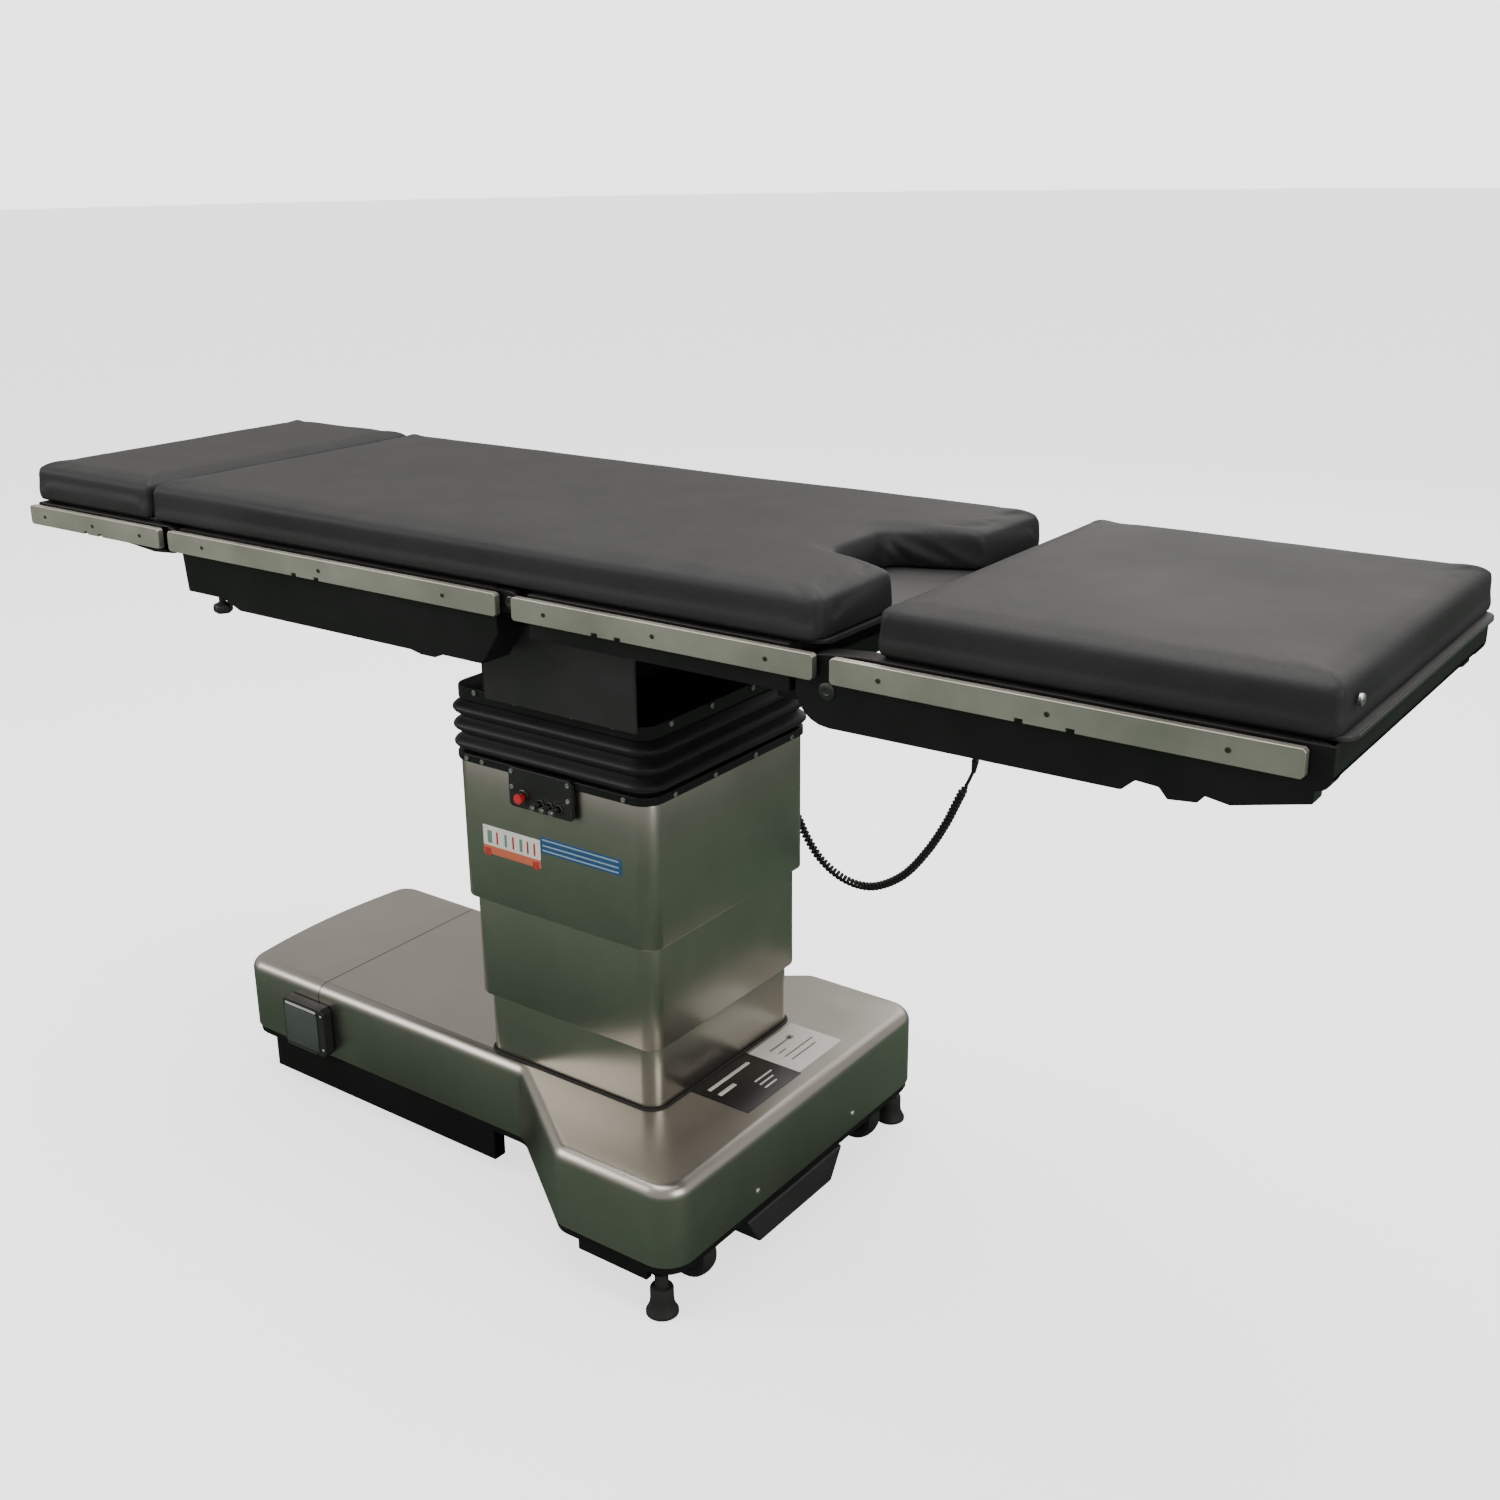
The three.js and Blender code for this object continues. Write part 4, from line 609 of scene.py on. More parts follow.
def facing(axis, at):
    """The matrix that turns +Z to an axis and moves it to a place."""
    turn = Vector(axis).normalized().to_track_quat("Z", "Y").to_matrix().to_4x4()
    return Matrix.Translation(Vector(at)) @ turn


def settle(obj):
    """Replaces an object's mesh by what its modifiers make of it."""
    graph = bpy.context.evaluated_depsgraph_get()
    final = obj.evaluated_get(graph)
    made = bpy.data.meshes.new_from_object(final, preserve_all_data_layers=True, depsgraph=graph)
    obj.modifiers.clear()
    old = obj.data
    obj.data = made
    bpy.data.meshes.remove(old)
    return obj


def smooth(obj, angle=35):
    """Smooth shading, with a sharp line wherever faces meet at more than the angle."""
    obj.data.shade_smooth()
    obj.data.set_sharp_from_angle(angle=math.radians(angle))
    return obj


def outward(obj):
    """Turns every face of a closed piece to look out."""
    shape = bmesh.new()
    shape.from_mesh(obj.data)
    bmesh.ops.recalc_face_normals(shape, faces=shape.faces)
    shape.to_mesh(obj.data)
    shape.free()
    return obj


def eased(obj, width, segments=2, angle=30):
    """Rounds every edge that turns more than the angle."""
    smooth(obj, angle)
    bevel = obj.modifiers.new("edges", "BEVEL")
    bevel.width = width
    bevel.segments = segments
    bevel.limit_method = "ANGLE"
    bevel.angle_limit = math.radians(angle)
    bevel.use_clamp_overlap = False
    bevel.harden_normals = True
    return settle(obj)


def painted_with(obj, key):
    obj.data.materials.clear()
    obj.data.materials.append(material(key))
    return obj


def fixed(obj, key, body, nodes=(), slot=None):
    """Gives a finished piece its material and its body, and hides the CAD nodes that it stands for; the
    slot is looked up but not kept.
    """
    painted_with(obj, key)
    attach(obj, body)
    if nodes:
        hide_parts(*nodes)
        slot = slot or SLOTS[nodes[0]]
    return obj


def finished(form, name, key, body, nodes=(), slot=None, angle=35, at=None):
    """One piece from one form: placed, built, smoothed and given what fixed gives it."""
    shape = Shape().add(form, at)
    return fixed(smooth(shape.build(name), angle), key, body, nodes, slot)


def body_of_node(node):
    return frame["nodes"][node]["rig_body"]


def whole_faces(node):
    """A copy of a CAD node's mesh with its flat faces whole again."""
    mesh = frame["nodes"][node].data.copy()
    shape = bmesh.new()
    shape.from_mesh(mesh)
    bmesh.ops.remove_doubles(shape, verts=shape.verts, dist=2e-5)
    bmesh.ops.dissolve_limit(shape, angle_limit=math.radians(0.6), verts=shape.verts, edges=shape.edges)
    bmesh.ops.dissolve_degenerate(shape, edges=shape.edges, dist=2e-5)
    shape.to_mesh(mesh)
    shape.free()
    return mesh


def softened(node, name, key, width, segments=2, angle=30):
    """A piece with a CAD node's own shape and rounded edges, in place of that node."""
    made = bpy.data.objects.new(name, whole_faces(node))
    bpy.context.scene.collection.objects.link(made)
    eased(made, width, segments, angle)
    return fixed(made, key, body_of_node(node), [node])


def screw_set(name, places, size, body, form=socket_screw, key="machined", slot="bright_steel"):
    """Like screws in one piece; a place is the way that a screw looks and where its head stands."""
    shape = Shape()
    for axis, at in places:
        shape.add(form(*size), facing(axis, at))
    return fixed(smooth(shape.build(name)), key, body, slot=slot)


NEAR = (0, -1, 0)
FAR = (0, 1, 0)
HEAD_WAY = (-1, 0, 0)
LEG_WAY = (1, 0, 0)


# Stage


def camera_turn(settings):
    """The camera's turn from its yaw, pitch and roll."""
    cos_p, sin_p = math.cos(settings.pitch), math.sin(settings.pitch)
    ahead = Vector((-math.sin(settings.yaw) * cos_p, math.cos(settings.yaw) * cos_p, -sin_p))
    right = Vector((math.cos(settings.yaw), math.sin(settings.yaw), 0))
    up = right.cross(ahead)
    basis = Matrix((right, up, -ahead)).transposed()
    return basis @ Matrix.Rotation(settings.roll, 3, "Z")


# Soft lights: name, place, aim, side and power
LAMPS = (
    ("softbox_over", (-0.4, 0.3, 4.2), (0, 0, 0.6), 3.6, 150),
    ("softbox_left", (-3.6, -3.2, 3.0), (0, 0, 0.6), 2.6, 90),
    ("softbox_right", (4.2, -0.6, 2.4), (0, 0, 0.5), 2.2, 70),
    ("softbox_back", (-0.5, 4.6, 2.8), (0, 0, 0.7), 3.0, 32),
)
LAMP_COLOUR = (1.0, 0.985, 0.96)
SKY_COLOUR = (0.93, 0.91, 0.87, 1)
SKY_STRENGTH = 0.6
SHOWN_SKY = {"Color": (1, 1, 1, 1), "Strength": 3.0}
FLOOR_RINGS = (40, 6, 1)


class BuildStage(bpy.types.Operator):
    """Sets the camera, the soft lights, the sky and the pale floor"""

    bl_idname = "optable.stage"
    bl_label = "Stage"

    def execute(self, context):
        settings = context.scene.table_camera
        data = bpy.data.cameras.new("view")
        data.lens = settings.lens
        data.sensor_width = 36
        data.shift_x = settings.shift_x
        data.shift_y = settings.shift_y
        data.clip_end = 200
        camera = bpy.data.objects.new("view", data)
        camera.matrix_world = Matrix.Translation(settings.place) @ camera_turn(settings).to_4x4()
        context.scene.collection.objects.link(camera)
        context.scene.camera = camera

        for name, place, aim, size, energy in LAMPS:
            lamp = bpy.data.lights.new(name, "AREA")
            lamp.shape = "SQUARE"
            lamp.size = size
            lamp.energy = energy
            lamp.color = LAMP_COLOUR
            holder = bpy.data.objects.new(name, lamp)
            turn = (Vector(place) - Vector(aim)).to_track_quat("Z", "Y")
            holder.matrix_world = Matrix.Translation(place) @ turn.to_matrix().to_4x4()
            context.scene.collection.objects.link(holder)

        world = bpy.data.worlds.new("studio")
        world.use_nodes = True
        tree = world.node_tree
        rays = wire(tree, "ShaderNodeLightPath")
        lighting = tree.nodes["Background"]
        lighting.inputs["Color"].default_value = SKY_COLOUR
        lighting.inputs["Strength"].default_value = SKY_STRENGTH
        shown = wire(tree, "ShaderNodeBackground", None, SHOWN_SKY)
        both = wire(tree, "ShaderNodeMixShader", None, {0: rays.outputs["Is Camera Ray"]})
        tree.links.new(lighting.outputs[0], both.inputs[1])
        tree.links.new(shown.outputs[0], both.inputs[2])
        tree.links.new(both.outputs[0], tree.nodes["World Output"].inputs["Surface"])
        context.scene.world = world

        ground = Shape()
        ground.add(stack([circle(r, 0, 64) for r in FLOOR_RINGS]))
        ground.faces = ground.faces[:-2] + [ground.faces[-1]]
        floor = ground.build("floor")
        painted_with(floor, "floor")
        return {"FINISHED"}


# Hand control and its cord

CORD_ROUTE = [
    (0.034, 0.249, 0.845),
    (0.034, 0.252, 0.800),
    (0.028, 0.270, 0.720),
    (0.018, 0.286, 0.620),
    (0.014, 0.292, 0.540),
    (0.026, 0.292, 0.470),
    (0.052, 0.292, 0.418),
    (0.079, 0.292, 0.389),
    (0.120, 0.292, 0.370),
    (0.164, 0.292, 0.371),
    (0.214, 0.292, 0.400),
    (0.254, 0.292, 0.448),
    (0.285, 0.292, 0.501),
    (0.304, 0.292, 0.543),
    (0.319, 0.292, 0.574),
    (0.325, 0.292, 0.590),
    (0.327, 0.292, 0.6037),
]
CORD_DIAMETER = 0.005
CURL_OUTER = 0.0135
CURL_PITCH = 0.0066
CURL_FROM = 0.385
CURL_TO = 0.036
OPEN_TURNS = 2
CURL_STEPS = 16
RELIEF_LENGTH = 0.019
RELIEF_BORE = 0.0026
KEY_ROWS = 6
KEY_STEP = 0.027
KEY_HALF = 0.008
KEY_TOP_Z = 0.832
KEYPAD_HALF = (0.024, 0.086)
KEYPAD_Z = 0.7645


def centripetal(points, steps=40):
    """A centripetal Catmull-Rom curve through points, as closely spaced places."""
    points = [Vector(p) for p in points]
    ends = [points[0] * 2 - points[1]] + points + [points[-1] * 2 - points[-2]]
    made = []
    for a, b, c, d in zip(ends, ends[1:], ends[2:], ends[3:]):
        t1, t2, t3 = (max((q - p).length ** 0.5, 1e-6) for p, q in ((a, b), (b, c), (c, d)))
        enter = ((b - a) / t1 - (c - a) / (t1 + t2) + (c - b) / t2) * t2
        leave = ((c - b) / t2 - (d - b) / (t2 + t3) + (d - c) / t3) * t2
        for k in range(steps):
            t = k / steps
            made.append(
                b
                + enter * t
                + (-3 * b + 3 * c - 2 * enter - leave) * t**2
                + (2 * b - 2 * c + enter + leave) * t**3
            )
    return made + [points[-1]]


class Way:
    """A line of close points, with places by length along it and a frame that doesn't twist."""

    def __init__(self, points):
        self.points = points
        self.at = [0.0]
        for a, b in zip(points, points[1:]):
            self.at.append(self.at[-1] + (b - a).length)
        ends = [points[0], *points, points[-1]]
        tangents = [(after - before).normalized() for before, after in zip(ends, ends[2:])]
        normal = tangents[0].cross(Vector((1, 0, 0))).normalized()
        self.normals = []
        for tangent in tangents:
            normal = (normal - tangent * normal.dot(tangent)).normalized()
            self.normals.append(normal)
        self.tangents = tangents

    def length(self):
        return self.at[-1]

    def place(self, distance):
        """The point, normal and binormal at a length along the way."""
        distance = min(max(distance, 0), self.at[-1])
        i = max(k for k in range(len(self.at)) if self.at[k] <= distance)
        i = min(i, len(self.points) - 2)
        share = (distance - self.at[i]) / (self.at[i + 1] - self.at[i])
        point = self.points[i].lerp(self.points[i + 1], share)
        return point, self.normals[i], self.tangents[i].cross(self.normals[i])


def cord_line():
    """The cord's centreline: a plain lead, tight curls, and a short plain tail."""
    way = Way(centripetal(CORD_ROUTE))
    total = way.length()
    line = [way.place(CURL_FROM * k / 40)[0] for k in range(40)]
    start = CURL_FROM + CORD_DIAMETER
    curled = total - CURL_TO - CORD_DIAMETER - start
    turns = round(curled / CURL_PITCH)
    radius = (CURL_OUTER - CORD_DIAMETER) / 2
    steps = turns * CURL_STEPS
    for i in range(steps + 1):
        share = i / steps
        point, normal, across = way.place(start + share * curled)
        opened = min(1, share * turns / OPEN_TURNS, (1 - share) * turns / OPEN_TURNS)
        angle = i * 2 * math.pi / CURL_STEPS
        line.append(point + (normal * math.cos(angle) + across * math.sin(angle)) * radius * opened)
    line += [way.place(total - CURL_TO + CURL_TO * k / 6)[0] for k in range(1, 7)]
    return line


def relief_form(line, length):
    """A ribbed strain relief that grips the cord where it enters the hand control."""
    end, before = line[-1], line[-3]
    ribs = 5
    groove = 0.0008
    profile = [(RELIEF_BORE, -length)]
    for k in range(ribs):
        low = -length + length * k / ribs
        radius = 0.0034 + 0.0018 * k / (ribs - 1)
        profile += [(radius, low + 0.0002), (radius, low + 0.0024)]
        profile += [(radius - groove, low + 0.0027), (radius - groove, low + 0.0035)]
    profile += [(0.0052, -0.0002), (RELIEF_BORE, -0.0001)]
    points, faces = turned_ring(profile, 20)
    turn = facing((end - before).normalized(), end)
    return [turn @ Vector(p) for p in points], faces


class BuildHandControl(bpy.types.Operator):
    """Hangs the hand control on the far rail, with its curly cord from the socket under the seat"""

    bl_idname = "optable.hand_control"
    bl_label = "Hand control and cord"

    def execute(self, context):
        line = cord_line()
        curve = bpy.data.curves.new("hand_control_cord", "CURVE")
        curve.dimensions = "3D"
        curve.bevel_depth = CORD_DIAMETER / 2
        curve.bevel_resolution = 3
        curve.use_fill_caps = True
        spline = curve.splines.new("POLY")
        spline.points.add(len(line) - 1)
        for point, place in zip(spline.points, line):
            point.co = (*place, 1)
        cord = bpy.data.objects.new("hand_control_cord", curve)
        context.scene.collection.objects.link(cord)
        fixed(cord, "rubber", "seat", ["cord_lead", "cord_curls", "cord_tail"])

        relief = relief_form(line, RELIEF_LENGTH)
        sleeve = finished(relief, "cord_relief", "rubber", "seat", slot="black_rubber", angle=40)
        softened("hand_control", "hand_control_case", "plastic", 0.0022, 3)
        low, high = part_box("hand_control")
        middle = (low.x + high.x) / 2
        face = high.y
        keys = Shape()
        outline = rectangle(-KEY_HALF, KEY_HALF, -KEY_HALF, KEY_HALF, 0.003)
        key = plate(outline, 0, 0.0022, 0.0008, 4)
        for row in range(KEY_ROWS):
            for side in (-1, 1):
                place = (middle + side * 0.012, face - 0.0004, KEY_TOP_Z - row * KEY_STEP)
                keys.add(key, facing(FAR, place))
        fixed(smooth(keys.build("hand_control_keys")), "toggle", "seat", slot="black_plastic")
        across, up = KEYPAD_HALF
        field = plate(rectangle(-across, across, -up, up, 0.006), 0, 0.0009, 0.0004, 6)
        turn = facing(FAR, (middle, face - 0.0003, KEYPAD_Z))
        finished(field, "hand_control_keypad", "panel", "seat", slot="black_plastic", at=turn)
        return {"FINISHED"}


# Pads

NOTCH = (0.111, 0.060, 0.104)
PAD_START = 0.0016
BOARD_HALF = 0.2525
LIP_RUN = 0.002
SWELL_FRAMES = 20
CROWN_SPARE = 0.0015
END_SPLIT = 0.105


def long_pad_corners():
    """The outline over back and seat, with the flared notch at the seat's end."""
    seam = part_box("back_pad_end")[0].x
    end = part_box("seat_pad")[1].x
    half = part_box("seat_pad")[1].y + sizes().pad_proud
    depth, inner, mouth = NOTCH
    near_side = [
        (seam, -half, 0.009),
        (end, -half, 0.013),
        (end, -mouth, 0.016),
        (end - depth, -inner, 0.030),
    ]
    return near_side + [(x, -y, radius) for x, y, radius in reversed(near_side)]


def box_corners(node, radius):
    low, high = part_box(node)
    return rectangle(low.x, high.x, low.y, high.y, radius)


def pad_form(corners, top, bottom):
    """A foam pad: straight sides, a soft top edge and a low crown."""
    edge = sizes().pad_edge
    rows = [
        (0.0035, bottom + 0.0004),
        (PAD_START + 0.0004, bottom + 0.003),
        (PAD_START, bottom + 0.012),
        (PAD_START, bottom + 0.026),
    ]
    rise = top - sizes().pad_crown - PAD_START
    for k in range(7):
        angle = k / 6 * math.pi / 2
        rows.append((PAD_START + edge * (1 - math.cos(angle)), rise - edge * (1 - math.sin(angle))))
    rows.append((0.03, rise + sizes().pad_crown * 0.5))
    return stack(ringed(corners, rows, 12))


def remeshed(obj, cell):
    grid = obj.modifiers.new("cells", "REMESH")
    grid.mode = "VOXEL"
    grid.voxel_size = cell
    grid.use_smooth_shade = True
    return settle(obj)


def clamped(value):
    return min(1.0, max(0.0, value))


def swollen(obj, bottom):
    """Lets the cover of a pad swell a little over its foam, with its foot held on the board."""
    rest = [v.co.copy() for v in obj.data.vertices]
    foot = obj.vertex_groups.new(name="foot")
    for vertex in obj.data.vertices:
        held = 1.0 - clamped((vertex.co.z - bottom - 0.004) / 0.01)
        if held > 0:
            foot.add([vertex.index], held, "REPLACE")
    cloth = obj.modifiers.new("swell", "CLOTH")
    cloth.settings.quality = 4
    cloth.settings.mass = 0.4
    cloth.settings.tension_stiffness = 20
    cloth.settings.bending_stiffness = 4
    cloth.settings.use_pressure = True
    cloth.settings.uniform_pressure_force = 4
    cloth.settings.vertex_group_mass = "foot"
    cloth.settings.effector_weights.gravity = 0
    cloth.collision_settings.use_collision = False
    cloth.point_cache.frame_start = 1
    cloth.point_cache.frame_end = SWELL_FRAMES
    scene = bpy.context.scene
    for step in range(1, SWELL_FRAMES + 1):
        scene.frame_set(step)
    settle(obj)
    scene.frame_set(1)
    most = sizes().pad_swell
    for vertex, start in zip(obj.data.vertices, rest):
        move = vertex.co - start
        if move.length > most:
            move.length = most
        vertex.co = start + move
    return obj


def undulate(obj, bottom):
    """Low, broad unevenness of the cover where people have lain on it."""
    for vertex in obj.data.vertices:
        share = clamped((vertex.co.z - bottom - 0.02) / 0.02)
        broad = noise.noise(vertex.co * 4.5)
        small = noise.noise(vertex.co * 15.0 + Vector((7, 3, 1)))
        vertex.co.z += share * (0.0011 * broad + 0.0004 * small)
    return obj


def eased_step(value):
    share = clamped(value)
    return share * share * (3 - 2 * share)


def lipped(obj, bottom, free_end):
    """Pulls the cover's foot down over the boards' edges, at the sides and past the free end."""
    for vertex in obj.data.vertices:
        low = 1.0 - clamped((vertex.co.z - bottom) / 0.012)
        side = eased_step((abs(vertex.co.y) - BOARD_HALF) / LIP_RUN)
        past = eased_step((free_end - vertex.co.x) / LIP_RUN) if free_end else 0.0
        vertex.co.z -= sizes().pad_lip * low * max(side, past)
    return obj


def made_pad(name, corners, top, bottom, free_end=None):
    """A padded form, remeshed, swollen, divided once and made slightly uneven."""
    pad = Shape().add(pad_form(corners, top, bottom)).build(name)
    remeshed(pad, sizes().pad_cell * (1.0))
    swollen(pad, bottom)
    divide = pad.modifiers.new("divide", "SUBSURF")
    divide.levels = 1
    divide.render_levels = 1
    settle(pad)
    undulate(pad, bottom)
    for vertex in pad.data.vertices:
        vertex.co.z = min(max(vertex.co.z, bottom), top + CROWN_SPARE)
    lipped(pad, bottom, free_end)
    pad.data.shade_smooth()
    return pad


def sliced(obj, name, x, keep_above):
    """A copy of a pad that ends at a plane across it, with the cut closed."""
    made = bpy.data.objects.new(name, obj.data.copy())
    bpy.context.scene.collection.objects.link(made)
    shape = bmesh.new()
    shape.from_mesh(made.data)
    parts = shape.verts[:] + shape.edges[:] + shape.faces[:]
    bmesh.ops.bisect_plane(
        shape,
        geom=parts,
        plane_co=(x, 0, 0),
        plane_no=(1, 0, 0),
        clear_inner=keep_above,
        clear_outer=not keep_above,
    )
    rim = [e for e in shape.edges if e.is_boundary]
    closed = bmesh.ops.edgeloop_fill(shape, edges=rim)["faces"]
    for edge in rim:
        edge.smooth = False
    for face in closed:
        face.smooth = False
    shape.to_mesh(made.data)
    shape.free()
    return made


class BuildPads(bpy.types.Operator):
    """Makes the foam pads: head, back and seat in one, and leg"""

    bl_idname = "optable.pads"
    bl_label = "Pads"

    def execute(self, context):
        bottom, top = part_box("seat_pad")[0].z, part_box("seat_pad")[1].z
        proud = sizes().pad_proud
        a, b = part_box("head_pad")
        c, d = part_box("leg_pad")
        head_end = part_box("head_board")[0].x - 0.0005
        ends = (
            ("head_cushion", "head", (a.x - proud, b.x), (0.010, 0.009), head_end),
            ("leg_cushion", "leg", (c.x, d.x + proud), (0.012, 0.013), None),
        )
        for name, body, (x0, x1), (r0, r1), free_end in ends:
            half = a.y - proud
            corners = [(x0, half, r0), (x1, half, r1), (x1, -half, r1), (x0, -half, r0)]
            pad = made_pad(name, corners, top, bottom, free_end)
            fixed(pad, "vinyl", body, [f"{body}_pad"])
        stud = lathe([(0, -0.002), (0.006, -0.002), (0.006, 0.0008), (0.0045, 0.002), (0, 0.0026)], 20)
        turn = facing(LEG_WAY, (d.x + proud + 0.0008, -0.218, 0.949))
        finished(stud, "leg_cushion_stud", "machined", "leg", slot="bright_steel", at=turn)

        whole = made_pad("long_pad", long_pad_corners(), top, bottom)
        split = HEAD_HINGE.x + END_SPLIT
        main = sliced(whole, "back_and_seat_cushion", split, True)
        end = sliced(whole, "back_cushion_end", split, False)
        bpy.data.objects.remove(whole)
        for piece in (main, end):
            painted_with(piece, "vinyl")
        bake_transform(main)
        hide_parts("seat_pad", "pad_fold", "back_pad")
        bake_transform(end)
        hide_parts("back_pad_end")
        return {"FINISHED"}


# Boards, rails and frames


class BuildBoards(bpy.types.Operator):
    """Makes the boards under the pads, with a lighter cut edge at the leg board's free end"""

    bl_idname = "optable.boards"
    bl_label = "Boards"

    def execute(self, context):
        for section in SECTIONS:
            node = f"{section}_board"
            low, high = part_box(node)
            form = plate(box_corners(node, 0.018), low.z, high.z, 0.001)
            finished(form, f"{section}_panel", "board", section, [node], angle=40)
        low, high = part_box("leg_board")
        half = high.y - 0.018
        outline = rectangle(high.x - 0.001, high.x + 0.0008, -half, half, 0.0004)
        form = plate(outline, low.z + 0.0008, high.z - 0.0008, 0.0003, 3)
        finished(form, "leg_panel_edge_trim", "board_edge", "leg", slot=SLOTS["leg_board"], angle=40)
        return {"FINISHED"}


RAIL_SHARES = (0.12, 0.5, 0.86)


class BuildRails(bpy.types.Operator):
    """Makes the accessory rails with their screws"""

    bl_idname = "optable.rails"
    bl_label = "Rails"

    def execute(self, context):
        for section in SECTIONS:
            for end, side in (("near", -1), ("far", 1)):
                node = f"{section}_rail_{end}"
                softened(node, f"{section}_side_rail_{end}", "rail_steel", 0.0008, 2)
                low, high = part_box(node)
                face = high.y if side > 0 else low.y
                middle = (low.z + high.z) / 2
                shares = [s for s in RAIL_SHARES if not (section == "seat" and side > 0 and s > 0.7)]
                places = [((0, side, 0), (low.x + (high.x - low.x) * s, face, middle)) for s in shares]
                name = f"{section}_rail_screws_{end}"
                screw_set(name, places, (0.0029, 0.0008), section, key="dark_steel", slot="steel")
        return {"FINISHED"}


class BuildFrames(bpy.types.Operator):
    """Makes the four cast section frames and their pin caps"""

    bl_idname = "optable.frames"
    bl_label = "Section frames"

    def execute(self, context):
        width = sizes().casting_edge
        for section in SECTIONS:
            softened(f"{section}_frame", f"{section}_casting", "powder", width, 2)
        for name, hinge, body, radius in (
            ("head_pin_caps", HEAD_HINGE, "head", 0.008),
            ("back_pin_caps", BACK_HINGE, "back", 0.008),
            ("leg_pin_caps", LEG_HINGE, "leg", 0.010),
        ):
            shape = Shape()
            edge = min(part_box(f"{body}_frame")[1].y, 0.262)
            cap = [(0, 0), (radius, 0), (radius, 0.0012), (radius * 0.86, 0.002), (radius * 0.4, 0.002)]
            cap += [(radius * 0.3, 0.0012), (0, 0.0012)]
            for side in (-1, 1):
                shape.add(lathe(cap), facing((0, side, 0), (hinge.x, side * edge, hinge.z)))
            fixed(smooth(shape.build(name)), "dark_steel", body, slot="steel")
        return {"FINISHED"}


# Saddle, tilt parts, flanges and bellows

# Screws round the two flanges: which flange, its body, their places along the sides and their height
FLANGE_SCREWS = (
    ("lower", "carriage", (-0.180, -0.152, 0.089), 0.6452),
    ("upper", "gimbal", (-0.163, -0.092, 0.005, 0.073), 0.738),
)
FLANGE_SCREWS_Y = (-0.13, -0.045, 0.045, 0.13)
PLEATS = 3
PLEAT_STEPS = 12


class BuildSaddle(bpy.types.Operator):
    """Makes the saddle, its side covers and the cross that it tilts on"""

    bl_idname = "optable.saddle"
    bl_label = "Saddle and tilt cross"

    def execute(self, context):
        width = sizes().casting_edge
        softened("saddle", "saddle_casting", "iron", width, 2)
        softened("tilt_cross", "tilt_casting", "iron", width, 2)
        softened("column_head", "column_head_casting", "iron", width, 2)
        for end in ("near", "far"):
            softened(f"saddle_cover_{end}", f"saddle_side_cover_{end}", "plastic", 0.001, 2)
        return {"FINISHED"}


class BuildBellows(bpy.types.Operator):
    """Makes the bellows between its two screwed flanges"""

    bl_idname = "optable.bellows"
    bl_label = "Bellows and flanges"

    def execute(self, context):
        low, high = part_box("bellows")
        bulge = 0.009
        wall = 0.0025
        outline = rectangle(low.x + bulge, high.x - bulge, low.y + bulge, high.y - bulge, 0.026)
        profile = []
        for k in range(PLEATS * PLEAT_STEPS + 1):
            share = k / (PLEATS * PLEAT_STEPS)
            wave = (1 - math.cos(2 * math.pi * PLEATS * share)) / 2
            profile.append((0.003 - 0.012 * wave**0.7, low.z + (high.z - low.z) * share))
        outer = ringed(outline, profile, 8)
        inner = ringed(outline, [(inset + wall, z) for inset, z in reversed(profile)], 8)
        skin = smooth(Shape().add(stack(outer + inner, closed=True)).build("bellows_skin"), 60)
        painted_with(skin, "bellows")
        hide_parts("bellows")
        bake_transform(skin)

        width = sizes().casting_edge
        softened("bellows_lower_flange", "lower_flange_frame", "powder", width, 2)
        softened("bellows_upper_flange", "upper_flange_casting", "powder", width, 2)
        for end, body, spots, z in FLANGE_SCREWS:
            node = f"bellows_{end}_flange"
            a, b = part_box(node)
            places = []
            for x in spots:
                places += [(NEAR, (x, a.y, z)), (FAR, (x, b.y, z))]
            for y in FLANGE_SCREWS_Y:
                places += [(HEAD_WAY, (a.x, y, z)), (LEG_WAY, (b.x, y, z))]
            screw_set(f"{end}_flange_screws", places, (0.0036, 0.0026), body)
        places = [((0, side, 0), (-0.139, side * 0.172, 0.778)) for side in (-1, 1)]
        screw_set("saddle_pivot_screws", places, (0.0068, 0.005), "gimbal")
        return {"FINISHED"}


# Column

LAYER = 0.0003
BARS_Z = (0.5285, 0.5465)


def shroud_form(corners, bottom, top, wall=0.002):
    """A sheet shroud with a rounded outline, hemmed at both ends."""
    hem = 0.0012
    rows = [
        (0.0006, bottom),
        (0.0, bottom + hem),
        (0.0, top - hem),
        (0.0006, top),
        (wall, top),
        (wall + 0.0004, top - 0.012),
        (wall, top - 0.0135),
        (wall, bottom + 0.0015),
        (wall - 0.0004, bottom),
    ]
    return stack(ringed(corners, rows, 12), closed=True)


def sticker_form(x0, x1, z0, z1, face, thickness=0.0003, proud=0.0, corner=0.0012):
    """A thin flat piece on a face that looks along -Y."""
    half_x, half_z = (x1 - x0) / 2, (z1 - z0) / 2
    form = plate(rectangle(-half_x, half_x, -half_z, half_z, corner), 0, thickness, thickness * 0.3, 3)
    middle = Matrix.Translation(((x0 + x1) / 2, face - proud, (z0 + z1) / 2))
    turn = middle @ Matrix.Rotation(math.radians(90), 4, "X")
    return [turn @ Vector(p) for p in form[0]], form[1]


